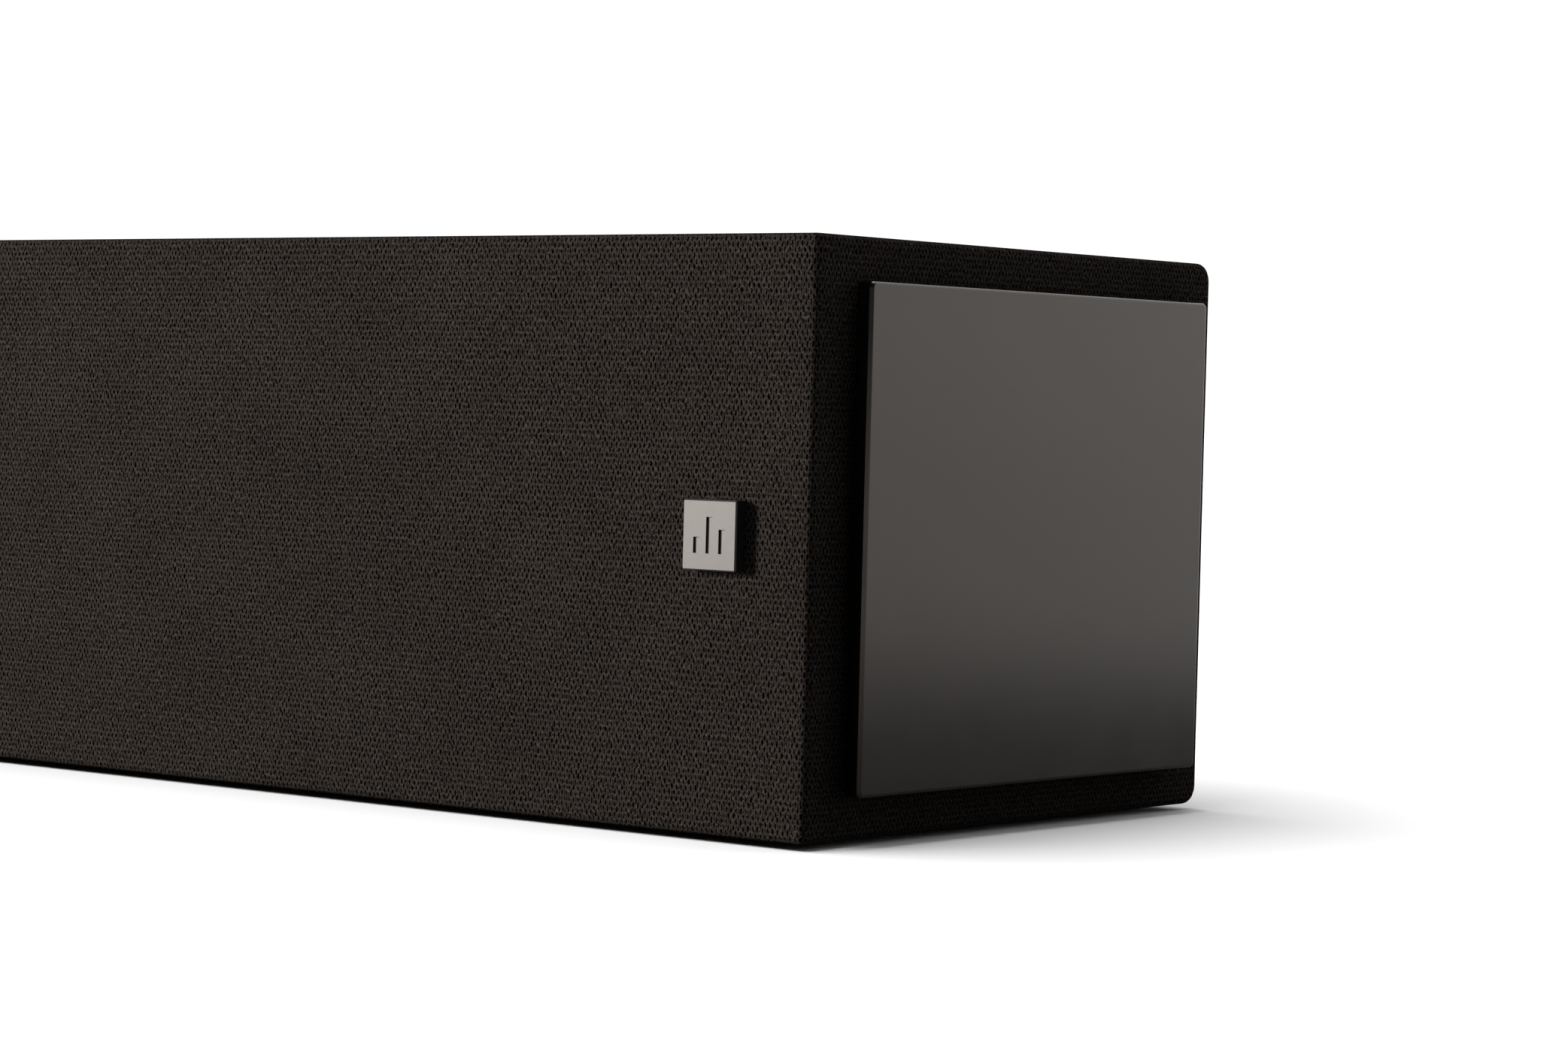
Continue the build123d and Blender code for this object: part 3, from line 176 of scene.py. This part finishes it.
def knit_material():
    """Warp-knitted loudspeaker cloth: loops of yarn round small tall holes, in staggered rows. The
    filaments and loops are lightened in the colour as painted sheen and painted highlights on the yarn.
    """
    n = Nodes("cloth_knit")
    place = n.add("ShaderNodeAttribute", attribute_name="knit").outputs["Vector"]
    parts = n.add("ShaderNodeSeparateXYZ", {0: place}).outputs
    across = n.math("DIVIDE", parts[0], KNIT_PITCH)
    along = n.math("DIVIDE", parts[1], 2 * KNIT_ROW)
    off_across = n.math("SUBTRACT", n.noise(620.0, 3.0, 0.65), 0.5)
    off_along = n.math("SUBTRACT", n.noise(610.0, 3.0, 0.6), 0.5)
    across = n.math("ADD", across, n.math("MULTIPLY", off_across, STRAY_ACROSS))
    along = n.math("ADD", along, n.math("MULTIPLY", off_along, STRAY_ALONG))
    reach = hole_distance(n, across, along)
    open_yarn = n.range(reach, 0.5, 1.45)
    loop = n.range(n.math("ABSOLUTE", n.math("SUBTRACT", reach, LOOP_REACH)), 0.05, 0.6, 1.0, 0.0)
    zigzag = n.math("PINGPONG", parts[1], KNIT_ROW / 2)
    slanted = n.add(
        "ShaderNodeCombineXYZ",
        {0: n.math("MULTIPLY_ADD", zigzag, FILAMENT_SLANT, parts[0]), 1: parts[1]},
    )
    filament = n.noise(FILAMENT_SCALE, 2.0, 0.7, vector=slanted.outputs[0], stretch=FILAMENT_STRETCH)
    strand = n.range(filament, 0.44, 0.68)
    patches = n.range(n.noise(38.0, 3.0, 0.55), 0.28, 0.72, *PATCH_LIGHT, smooth=False)
    # The lightness below holds painted sheen on the filaments and painted highlights on the loops round
    # the holes, as well as the yarn's grain.
    light = n.math("MULTIPLY_ADD", strand, FILAMENT_GRAIN_AND_SHEEN, YARN_SHADE)
    painted_loop_highlight = n.math("MULTIPLY", loop, n.range(filament, 0.3, 0.6))
    light = n.math("MULTIPLY_ADD", painted_loop_highlight, LOOP_PAINTED_HIGHLIGHT, light)
    light = n.math("MULTIPLY", light, patches)
    light = n.math("MULTIPLY", light, n.math("MULTIPLY_ADD", open_yarn, 1 - HOLE_SHADE, HOLE_SHADE))
    relief = n.math("MULTIPLY", n.math("MULTIPLY_ADD", strand, 0.5, 0.6), open_yarn)
    return n.principled(
        Base_Color=n.mix(light, rgb(0.0, 0.0, 0.0), CLOTH_COLOUR),
        Roughness=0.9,
        Specular_IOR_Level=0.0,
        Normal=n.bump(relief, KNIT_RELIEF, 0.6),
    )


def satin_panel_material():
    """Satin black moulding of the end panels: faint orange peel and fine pale specks."""
    n = Nodes("end_panel_satin")
    peel = n.noise(1400.0, 2.0, 0.5)
    dust = n.noise(60.0, 4.0, 0.6)
    speck = n.range(n.noise(5200.0, 1.0, 0.5), 0.62, 0.7)
    colour = n.mix(speck, rgb(0.0016, 0.0014, 0.0012), rgb(0.004, 0.0035, 0.003))
    return n.principled(
        Base_Color=colour,
        Roughness=n.range(dust, 0.3, 0.7, 0.135, 0.175, smooth=False),
        IOR=1.53,
        Specular_Tint=rgb(1.0, 0.88, 0.79),
        Normal=n.bump(peel, 0.004 * MM, 0.5),
    )


BADGE_METALLIC = 0.7
BADGE_TONES = (rgb(0.055, 0.052, 0.050), rgb(0.069, 0.0655, 0.063))


def badge_material():
    """Satin metal plate, finely brushed; its sides are coloured near-black as painted shade."""
    n = Nodes("badge_metal")
    facing = n.add("ShaderNodeSeparateXYZ", {0: n.add("ShaderNodeNewGeometry").outputs["Normal"]}).outputs
    # Mask of the front face. Every other side gets a near-black colour: painted shade on the badge's
    # sides.
    face = n.range(facing[1], -0.2, -0.45)
    grain = n.noise(9000.0, 2.0, 0.6)
    brushed = n.noise(1500.0, 3.0, 0.6, stretch=(0.15, 1.0, 6.0))
    tone = n.range(n.math("MULTIPLY_ADD", brushed, 0.4, n.math("MULTIPLY", grain, 0.6)), 0.3, 0.7)
    return n.principled(
        # Near-black on the sides is painted shade; the metal tones are on the front face only.
        Base_Color=n.mix(face, rgb(0.006, 0.006, 0.006), n.mix(tone, *BADGE_TONES)),
        Metallic=n.math("MULTIPLY", face, BADGE_METALLIC),
        Roughness=n.range(grain, 0.3, 0.7, 0.42, 0.55, smooth=False),
        Normal=n.bump(grain, 0.01 * MM, 0.6),
    )


def moulded(name, colour, roughness, grain_scale=2600.0, depth=0.02 * MM):
    """Moulded plastic or rubber with a fine spark-eroded grain and slight shine changes."""
    n = Nodes(name)
    grain = n.noise(grain_scale, 3.0, 0.65)
    patch = n.noise(45.0, 3.0, 0.5)
    tone = n.range(grain, 0.3, 0.7)
    return n.principled(
        Base_Color=n.mix(tone, scaled(colour, 0.8), scaled(colour, 1.2)),
        Roughness=n.range(patch, 0.3, 0.7, roughness - 0.05, roughness + 0.05, smooth=False),
        Normal=n.bump(grain, depth, 0.7),
    )


def metal(name, colour, roughness, stretch=(1.0, 1.0, 1.0), grain_scale=1800.0):
    """Plated, turned or brushed metal; stretch draws the grain out along one direction."""
    n = Nodes(name)
    grain = n.noise(grain_scale, 3.0, 0.6, stretch=stretch)
    stain = n.noise(90.0, 3.0, 0.6)
    tone = n.range(stain, 0.3, 0.7)
    return n.principled(
        Base_Color=n.mix(tone, scaled(colour, 0.88), scaled(colour, 1.08)),
        Metallic=1.0,
        Roughness=n.range(grain, 0.3, 0.7, roughness - 0.08, roughness + 0.08, smooth=False),
        Normal=n.bump(grain, 0.01 * MM, 0.5),
    )


LACQUER_DEPTH = 4 * MM  # the boards are black this far in from the cloth's outer face


def fibreboard_material():
    """Fibreboard: raw short pressed fibres inside, stained black on the outer faces."""
    n = Nodes("board_wood")
    fibre = n.noise(900.0, 5.0, 0.7, stretch=(0.6, 0.6, 1.6))
    blotch = n.noise(30.0, 3.0, 0.5)
    tone = n.math("MULTIPLY_ADD", blotch, 0.4, n.math("MULTIPLY", fibre, 0.6))
    raw = n.mix(n.range(tone, 0.3, 0.7), rgb(0.25, 0.165, 0.09), rgb(0.40, 0.28, 0.165))
    place = n.add("ShaderNodeTexCoord").outputs["Object"]
    centred = n.add("ShaderNodeVectorMath", {0: place, 1: MIDDLE}, operation="SUBTRACT").outputs[0]
    parts = n.add("ShaderNodeSeparateXYZ", {0: centred}).outputs
    outside = 0.0
    for part, half in zip(parts, HALF):
        reach = n.math("SUBTRACT", n.math("ABSOLUTE", part), half - LACQUER_DEPTH)
        outside = n.math("MAXIMUM", outside, n.math("GREATER_THAN", reach, 0.0))
    return n.principled(
        Base_Color=n.mix(outside, raw, rgb(0.008, 0.008, 0.008)),
        Roughness=0.85,
        Normal=n.bump(fibre, 0.06 * MM, 0.6),
    )


def paper_material():
    """Pressed paper pulp of the cones."""
    n = Nodes("cone_paper")
    pulp = n.noise(1500.0, 5.0, 0.75)
    return n.principled(
        Base_Color=n.mix(n.range(pulp, 0.3, 0.7), rgb(0.018, 0.018, 0.019), rgb(0.045, 0.044, 0.044)),
        Roughness=0.9,
        Normal=n.bump(pulp, 0.08 * MM, 0.8),
    )


SILK_THREAD = 0.35 * MM


def silk_material():
    """Coated silk of the domes: a close plain weave."""
    n = Nodes("dome_silk")
    place = n.add("ShaderNodeTexCoord").outputs["Object"]
    parts = n.add("ShaderNodeSeparateXYZ", {0: place}).outputs
    threads = []
    for part in (parts[0], parts[2]):
        wave = n.math("SINE", n.math("MULTIPLY", part, 2 * math.pi / SILK_THREAD))
        threads.append(n.math("MULTIPLY_ADD", wave, 0.5, 0.5))
    weave = n.math("MULTIPLY", threads[0], threads[1])
    return n.principled(
        Base_Color=n.mix(weave, rgb(0.012, 0.012, 0.013), rgb(0.03, 0.03, 0.032)),
        Roughness=0.55,
        Normal=n.bump(weave, 0.03 * MM, 0.6),
    )


def circuit_material():
    """Green solder mask over faint copper tracks."""
    n = Nodes("board_green")
    place = n.add("ShaderNodeTexCoord").outputs["Object"]
    cells = n.add(
        "ShaderNodeTexVoronoi", {"Vector": place, "Scale": 240.0, "Randomness": 0.7},
        distance="MANHATTAN", feature="F1",
    ).outputs["Distance"]
    tracks = n.range(n.math("PINGPONG", cells, 0.0011), 0.0004, 0.0006)
    mottle = n.noise(200.0, 2.0, 0.5)
    base = n.mix(mottle, rgb(0.010, 0.055, 0.026), rgb(0.016, 0.075, 0.036))
    return n.principled(
        Base_Color=n.mix(tracks, base, rgb(0.03, 0.13, 0.06)),
        Roughness=0.35,
        Normal=n.bump(tracks, 0.03 * MM, 0.6),
    )


SLOT_MATERIALS = {
    "end_panel_satin": satin_panel_material(),
    "badge_metal": badge_material(),
    "board_wood": fibreboard_material(),
    "frame_plastic": moulded("frame_plastic", rgb(0.012, 0.012, 0.012), 0.6),
    "black_plastic": moulded("black_plastic", rgb(0.014, 0.014, 0.0145), 0.5, 1900.0, 0.035 * MM),
    "button_plastic": moulded("button_plastic", rgb(0.018, 0.018, 0.0185), 0.62, 3200.0),
    "foot_rubber": moulded("foot_rubber", rgb(0.010, 0.010, 0.010), 0.85, 1300.0, 0.05 * MM),
    "basket_steel": moulded("basket_steel", rgb(0.016, 0.016, 0.017), 0.4, 2200.0),
    "magnet_steel": metal("magnet_steel", rgb(0.16, 0.16, 0.165), 0.5),
    "cone_paper": paper_material(),
    "suspension_rubber": moulded("suspension_rubber", rgb(0.013, 0.013, 0.013), 0.6, 1800.0),
    "dome_silk": silk_material(),
    "screw_steel": metal("screw_steel", rgb(0.42, 0.42, 0.43), 0.35),
    "insert_brass": metal("insert_brass", rgb(0.62, 0.45, 0.18), 0.35),
    "heatsink_aluminium": metal("heatsink_aluminium", rgb(0.035, 0.035, 0.037), 0.5, (1.0, 1.0, 0.1)),
    "board_green": circuit_material(),
    "socket_steel": metal("socket_steel", rgb(0.55, 0.55, 0.56), 0.3),
    "socket_gold": metal("socket_gold", rgb(0.75, 0.56, 0.22), 0.28),
    "lens_plastic": moulded("lens_plastic", rgb(0.012, 0.006, 0.010), 0.15),
}


def dress_cad_nodes():
    """Give every CAD node that stays the material of its slot in the record."""
    for entry in frame["record"]["subparts"]:
        name = entry["node"]
        if entry["material_slot"] not in SLOT_MATERIALS:
            continue
        mesh = frame["nodes"][name].data
        mesh.materials.clear()
        mesh.materials.append(SLOT_MATERIALS[entry["material_slot"]])


# ---------------------------------------------------------------- cloth sleeve
CELL = 8 * MM
ARC_STEPS = 3  # steps in half of a rounded edge


def edge_offsets(radius):
    """Distances from a face where the grid lines of a rounded edge run."""
    return [radius * (1 - math.tan(math.pi / 4 * step / ARC_STEPS)) for step in range(ARC_STEPS + 1)]


def grid_lines(half, low_radii, high_radii):
    """Places of the grid lines along one axis, from -half to +half."""
    low = {round(-half + d, 7) for radius in low_radii for d in edge_offsets(radius)}
    high = {round(half - d, 7) for radius in high_radii for d in edge_offsets(radius)}
    start, end = max(low), min(high)
    count = max(1, round((end - start) / CELL))
    inner = {round(start + (end - start) * step / count, 7) for step in range(count + 1)}
    return sorted(low | inner | high)


def rounded(point):
    """A point of the plain box, moved to the rounded outline."""
    inner = Vector(max(-h + EDGE_RADIUS, min(h - EDGE_RADIUS, c)) for h, c in zip(HALF, point))
    centre_y, centre_z = HALF.y - BACK_EDGE_RADIUS, HALF.z - BACK_EDGE_RADIUS
    away = Vector((point.y - centre_y, abs(point.z) - centre_z))
    if min(away) > 0:
        away = away.normalized() * min(away.length, BACK_EDGE_RADIUS - EDGE_RADIUS)
        inner.y = centre_y + away.x
        inner.z = math.copysign(centre_z + away.y, point.z)
    return inner + (point - inner).normalized() * EDGE_RADIUS


def box_grid(lines):
    """A closed box of grid cells, as a bmesh."""
    bm = bmesh.new()
    made = {}

    def vertex(place):
        if place not in made:
            made[place] = bm.verts.new(place)
        return made[place]

    for axis in range(3):
        a, b = (axis + 1) % 3, (axis + 2) % 3
        for end in (0, -1):
            for i in range(len(lines[a]) - 1):
                for j in range(len(lines[b]) - 1):
                    corners = []
                    for da, db in ((0, 0), (1, 0), (1, 1), (0, 1)):
                        place = [0.0, 0.0, 0.0]
                        place[axis] = lines[axis][end]
                        place[a] = lines[a][i + da]
                        place[b] = lines[b][j + db]
                        corners.append(vertex(tuple(place)))
                    if end == 0:
                        corners.reverse()
                    bm.faces.new(corners)
    return bm


SLACK = 0.05 * MM
SLACK_SCALE = (9.0, 22.0, 22.0)  # long soft waves along the bar


def tension(point):
    """How far the stretched cloth lies in from its outline, which varies slightly."""
    ripple = noise.noise(Vector((point.x, point.z, point.y)) * Vector(SLACK_SCALE))
    return SLACK * (1.0 + ripple)


def make_cloth():
    plain, double = [EDGE_RADIUS], [EDGE_RADIUS, BACK_EDGE_RADIUS]
    lines = [
        grid_lines(HALF.x, plain, plain),
        grid_lines(HALF.y, plain, double),
        grid_lines(HALF.z, double, double),
    ]
    bm = box_grid(lines)
    for v in bm.verts:
        v.co = rounded(v.co)
    bm.normal_update()
    moves = {v: v.normal * -tension(v.co) for v in bm.verts}
    for v, move in moves.items():
        v.co = v.co + move + MIDDLE
    mesh = bpy.data.meshes.new("knitted_sleeve")
    bm.to_mesh(mesh)
    bm.free()
    sleeve = bpy.data.objects.new("knitted_sleeve", mesh)
    bpy.context.scene.collection.objects.link(sleeve)
    return sleeve


def apply_modifiers(obj):
    """Replace the mesh by what its modifiers make of it."""
    depsgraph = bpy.context.evaluated_depsgraph_get()
    mesh = bpy.data.meshes.new_from_object(obj.evaluated_get(depsgraph))
    obj.modifiers.clear()
    obj.data = mesh


def cutter_mesh(shapes):
    """One closed cutter from (outline, low, high, axis) prisms; outline is in the other two axes."""
    bm = bmesh.new()
    for outline, low, high, axis in shapes:
        rings = []
        for level in (low, high):
            ring = []
            for a, b in outline:
                place = [a, b]
                place.insert(axis, level)
                ring.append(bm.verts.new(place))
            rings.append(ring)
        bm.faces.new(rings[0])
        bm.faces.new(list(reversed(rings[1])))
        count = len(outline)
        for i in range(count):
            j = (i + 1) % count
            bm.faces.new((rings[0][j], rings[0][i], rings[1][i], rings[1][j]))
    bmesh.ops.recalc_face_normals(bm, faces=bm.faces)
    mesh = bpy.data.meshes.new("cutter")
    bm.to_mesh(mesh)
    bm.free()
    return bpy.data.objects.new("cutter", mesh)


def circle(a, b, radius, steps=28):
    return [
        (a + radius * math.cos(2 * math.pi * i / steps), b + radius * math.sin(2 * math.pi * i / steps))
        for i in range(steps)
    ]


def rounded_rectangle(low_a, low_b, high_a, high_b, radius, steps=6):
    corners = (
        (high_a - radius, high_b - radius, 0),
        (low_a + radius, high_b - radius, 90),
        (low_a + radius, low_b + radius, 180),
        (high_a - radius, low_b + radius, 270),
    )
    outline = []
    for a, b, start in corners:
        for step in range(steps + 1):
            angle = math.radians(start + 90 * step / steps)
            outline.append((a + radius * math.cos(angle), b + radius * math.sin(angle)))
    return outline


FEET = ("foot_front_left", "foot_back_left", "foot_front_right", "foot_back_right")
CUT_DEPTH = 4 * MM
GAP = 0.2 * MM
REAR_CORNER = 4.2 * MM
CONTROL_CORNER = 6.2 * MM
STEM_HOLE = 4.15 * MM
BOSS_HOLE = 4.7 * MM


def solids(node):
    """(lowest corner, highest corner) of each separate solid of a CAD node, in order of place."""
    bm = bmesh.new()
    bm.from_mesh(frame["nodes"][node].data)
    bmesh.ops.remove_doubles(bm, verts=bm.verts, dist=0.001 * MM)
    waiting, boxes = set(bm.verts), []
    while waiting:
        stack = [waiting.pop()]
        island = []
        while stack:
            v = stack.pop()
            island.append(v.co)
            for edge in v.link_edges:
                other = edge.other_vert(v)
                if other in waiting:
                    waiting.remove(other)
                    stack.append(other)
        low = Vector(min(place[k] for place in island) for k in range(3))
        high = Vector(max(place[k] for place in island) for k in range(3))
        boxes.append((low, high))
    bm.free()
    return sorted(boxes, key=lambda box: tuple(box[0]))


def open_cloth(sleeve):
    """Cut the openings of the cloth: rear and control panels, inserts, feet and panel bosses."""
    low, high = CLOTH_LOW, CLOTH_HIGH
    rear_low, rear_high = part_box("rear_panel")
    top_low, top_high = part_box("control_panel")
    shapes = [
        (
            rounded_rectangle(
                rear_low.x - GAP, rear_low.z - GAP, rear_high.x + GAP, rear_high.z + GAP, REAR_CORNER
            ),
            high.y - CUT_DEPTH, high.y + CUT_DEPTH, 1,
        ),
        (
            rounded_rectangle(
                top_low.x - GAP, top_low.y - GAP, top_high.x + GAP, top_high.y + GAP, CONTROL_CORNER
            ),
            high.z - CUT_DEPTH, high.z + CUT_DEPTH, 2,
        ),
    ]
    for a, b in solids("wall_inserts"):
        hole = circle((a.x + b.x) / 2, (a.z + b.z) / 2, (b.z - a.z) / 2 + GAP)
        shapes.append((hole, high.y - CUT_DEPTH, high.y + CUT_DEPTH, 1))
    for a, b in map(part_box, FEET):
        hole = circle((a.x + b.x) / 2, (a.y + b.y) / 2, STEM_HOLE)
        shapes.append((hole, low.z - CUT_DEPTH, low.z + CUT_DEPTH, 2))
    for a, b in solids("end_panel_screws"):
        side = high.x if a.x > 0 else low.x
        hole = circle((a.y + b.y) / 2, (a.z + b.z) / 2, BOSS_HOLE)
        shapes.append((hole, side - CUT_DEPTH, side + CUT_DEPTH, 0))
    cutter = cutter_mesh(shapes)
    bpy.context.scene.collection.objects.link(cutter)
    solidify = sleeve.modifiers.new("thickness", "SOLIDIFY")
    solidify.thickness = CLOTH_THICKNESS
    solidify.offset = -1
    cut = sleeve.modifiers.new("openings", "BOOLEAN")
    cut.operation = "DIFFERENCE"
    cut.solver = "EXACT"
    cut.object = cutter
    apply_modifiers(sleeve)
    bpy.data.objects.remove(cutter)


def wrap(value, half, radius):
    """Length along the cloth from the middle of a face to a place near its rounded edge."""
    flat = half - radius
    beyond = abs(value) - flat
    if beyond <= 0:
        return value
    return math.copysign(flat + radius * math.asin(min(1.0, beyond / radius)), value)


def mark_knit(sleeve):
    """Lay the knit's own coordinates on the cloth, unbroken from the front to all faces beside it."""
    mesh = sleeve.data
    layer = mesh.attributes.new("knit", "FLOAT_VECTOR", "CORNER")
    quarter = EDGE_RADIUS * math.pi / 2
    side_start = HALF.x + HALF.y - 2 * EDGE_RADIUS + quarter
    top_start = HALF.z + HALF.y - 2 * EDGE_RADIUS + quarter
    for face in mesh.polygons:
        centre = face.center - MIDDLE
        along = [abs(centre[k]) - HALF[k] for k in range(3)]
        axis = along.index(max(along))
        for loop in face.loop_indices:
            p = mesh.vertices[mesh.loops[loop].vertex_index].co - MIDDLE
            x, y, z = (wrap(p[k], HALF[k], EDGE_RADIUS) for k in range(3))
            if axis == 0:
                u, v = math.copysign(1.0, centre.x) * (side_start + y), z
            elif axis == 1:
                u, v = (x if centre.y < 0 else 3 * HALF.x - x), z
            else:
                u, v = x, math.copysign(1.0, centre.z) * (top_start + y)
            layer.data[loop].vector = (u, v, 0.0)


CREASE = math.radians(40)


def cloth_sleeve():
    sleeve = make_cloth()
    open_cloth(sleeve)
    mark_knit(sleeve)
    sleeve.data.polygons.foreach_set("use_smooth", [True] * len(sleeve.data.polygons))
    sleeve.data.set_sharp_from_angle(angle=CREASE)
    sleeve.data.materials.append(knit_material())
    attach(sleeve, "cabinet")
    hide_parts("fabric_sleeve")
    return sleeve


# ---------------------------------------------------------------- studio
FLOOR_SIZE = 30.0
BOUNCE_NEAR_PAINTED_SHADE = rgb(0.20, 0.20, 0.20)  # what the floor throws back at the object, near its right end: darker there, a painted shadow for reflections and bounce light
BOUNCE_FAR = rgb(0.74, 0.74, 0.74)
BOUNCE_REACH = (0.25, 1.1)


def floor():
    bm = bmesh.new()
    bmesh.ops.create_grid(bm, x_segments=8, y_segments=8, size=FLOOR_SIZE)
    mesh = bpy.data.meshes.new("studio_floor")
    bm.to_mesh(mesh)
    bm.free()
    obj = bpy.data.objects.new("studio_floor", mesh)
    bpy.context.scene.collection.objects.link(obj)
    n = Nodes("studio_floor")
    tone = n.noise(3.0, 2.0, 0.5)
    seen = n.add("ShaderNodeLightPath").outputs["Is Camera Ray"]
    pale = n.mix(tone, rgb(0.92, 0.92, 0.92), rgb(0.94, 0.94, 0.94))
    place = n.add("ShaderNodeTexCoord").outputs["Object"]
    foot = Vector((CLOTH_HIGH.x, MIDDLE.y, 0.0))
    away = n.add("ShaderNodeVectorMath", {0: place, 1: foot}, operation="DISTANCE").outputs["Value"]
    # For all but camera rays the floor is darker near the object's right end: a painted shadow, seen in
    # the panel's reflection and in the bounce light.
    bounce_with_painted_shade = n.mix(n.range(away, *BOUNCE_REACH), BOUNCE_NEAR_PAINTED_SHADE, BOUNCE_FAR)
    obj.data.materials.append(
        n.principled(
            Base_Color=n.mix(seen, bounce_with_painted_shade, pale),
            Roughness=0.9,
            Specular_IOR_Level=0.0,
        )
    )
    return obj


def direction(azimuth, elevation):
    """Towards a light. Azimuth 0 is straight before the front, and 90 is off its right end."""
    a, e = math.radians(azimuth), math.radians(elevation)
    return Vector((math.sin(a) * math.cos(e), -math.cos(a) * math.cos(e), math.sin(e)))


def place_light(light, towards, place):
    obj = bpy.data.objects.new(light.name, light)
    obj.rotation_euler = towards.to_track_quat("Z", "Y").to_euler()
    obj.location = place
    obj.visible_camera = False
    bpy.context.scene.collection.objects.link(obj)
    return obj


def choose_receivers(obj, ground, state):
    """Let a light shine on the floor alone, with INCLUDE, or on all but the floor, with EXCLUDE."""
    receivers = bpy.data.collections.new(obj.name + "_receivers")
    receivers.objects.link(ground)
    receivers.collection_objects[0].light_linking.link_state = state
    obj.light_linking.receiver_collection = receivers


KEY_TOWARDS = direction(-50, 11)
KEY_DISTANCE = 3.0
KEY_SIZE = 0.65
KEY_POWER = 205.0
KEY_COLOUR = (1.0, 0.96, 0.92)


def key_light(ground):
    """Soft round light off the left of the front, low, so that it also fades along the bar."""
    light = bpy.data.lights.new("key", "AREA")
    light.shape = "DISK"
    light.size = KEY_SIZE
    light.energy = KEY_POWER
    light.color = KEY_COLOUR
    corner = Vector((CLOTH_HIGH.x, CLOTH_LOW.y, MIDDLE.z))
    obj = place_light(light, KEY_TOWARDS, corner + KEY_TOWARDS * KEY_DISTANCE)
    choose_receivers(obj, ground, "EXCLUDE")


SUN_PLACE = Vector((0.0, 0.0, 3.0))
TOP_TOWARDS = direction(180, 74)
TOP_STRENGTH = 1.6
TOP_SPREAD = 40
FLOOR_TOWARDS = direction(-43, 63)
FLOOR_STRENGTH = 3.85
FLOOR_SPREAD = 68


def sun(name, strength, spread, towards):
    """A far light, as wide in the sky as its spread in degrees."""
    light = bpy.data.lights.new(name, "SUN")
    light.energy = strength
    light.angle = math.radians(spread)
    return place_light(light, towards, SUN_PLACE)


def top_light(ground):
    """Weak light from high behind, for the top and the back alone, not for the floor."""
    choose_receivers(sun("top_light", TOP_STRENGTH, TOP_SPREAD, TOP_TOWARDS), ground, "EXCLUDE")


def floor_light(ground):
    """Large far light for the floor alone, which draws the object's soft shadow on it."""
    choose_receivers(sun("floor_light", FLOOR_STRENGTH, FLOOR_SPREAD, FLOOR_TOWARDS), ground, "INCLUDE")


WORLD_FRONT = 0.06
WORLD_BACK = 1.25
WORLD_TURN = (0.2, 0.75)  # where front turns to back, along Y
WORLD_SEEN = 1.1


def studio_world():
    """White to the camera; the light that it gives is brighter behind the object than before it."""
    world = bpy.data.worlds.new("studio")
    bpy.context.scene.world = world
    world.use_nodes = True
    tree = world.node_tree
    tree.nodes.clear()
    place = tree.nodes.new("ShaderNodeTexCoord")
    parts = tree.nodes.new("ShaderNodeSeparateXYZ")
    ramp = tree.nodes.new("ShaderNodeMapRange")
    ramp.interpolation_type = "SMOOTHSTEP"
    ramp.inputs["From Min"].default_value = WORLD_TURN[0]
    ramp.inputs["From Max"].default_value = WORLD_TURN[1]
    ramp.inputs["To Min"].default_value = WORLD_FRONT
    ramp.inputs["To Max"].default_value = WORLD_BACK
    rays = tree.nodes.new("ShaderNodeLightPath")
    strength = tree.nodes.new("ShaderNodeMix")
    background = tree.nodes.new("ShaderNodeBackground")
    output = tree.nodes.new("ShaderNodeOutputWorld")
    tree.links.new(place.outputs["Generated"], parts.inputs[0])
    tree.links.new(parts.outputs[1], ramp.inputs["Value"])
    tree.links.new(rays.outputs["Is Camera Ray"], strength.inputs[0])
    tree.links.new(ramp.outputs[0], strength.inputs[2])
    strength.inputs[3].default_value = WORLD_SEEN
    tree.links.new(strength.outputs[0], background.inputs["Strength"])
    tree.links.new(background.outputs[0], output.inputs[0])
    background.inputs["Color"].default_value = rgb(1.0, 1.0, 1.0)


def studio():
    ground = floor()
    studio_world()
    key_light(ground)
    floor_light(ground)
    top_light(ground)
    bpy.context.scene.view_settings.view_transform = "Standard"


# ---------------------------------------------------------------- camera
CAMERA_YAW = math.radians(38.45)
CAMERA_PITCH = math.radians(-1.57)
CAMERA_ROLL = math.radians(1.47)
CAMERA_LENS = 93.3
CAMERA_OFFSET = Vector((4.069, -5.196, 0.708))  # from the near lower corner, in heights of the cloth


def camera():
    """Seen from in front of the right end, slightly below its top."""
    corner = Vector((CLOTH_HIGH.x, CLOTH_LOW.y, CLOTH_LOW.z))
    yaw, pitch, roll = CAMERA_YAW, CAMERA_PITCH, CAMERA_ROLL
    forward = Vector((-math.sin(yaw) * math.cos(pitch), math.cos(yaw) * math.cos(pitch), math.sin(pitch)))
    right = Vector((math.cos(yaw), math.sin(yaw), 0))
    up = right.cross(forward)
    right, up = (
        math.cos(roll) * right + math.sin(roll) * up,
        -math.sin(roll) * right + math.cos(roll) * up,
    )
    data = bpy.data.cameras.new("camera")
    data.sensor_fit = "HORIZONTAL"
    data.sensor_width = 36.0
    data.lens = CAMERA_LENS
    data.clip_start = 0.05
    data.clip_end = 100.0
    obj = bpy.data.objects.new("camera", data)
    bpy.context.scene.collection.objects.link(obj)
    rotation = Matrix((right, up, -forward)).transposed()
    place = corner + CAMERA_OFFSET * 2 * HALF.z
    obj.matrix_world = Matrix.Translation(place) @ rotation.to_4x4()
    bpy.context.scene.camera = obj


camera()
studio()
dress_cad_nodes()
cloth_sleeve()
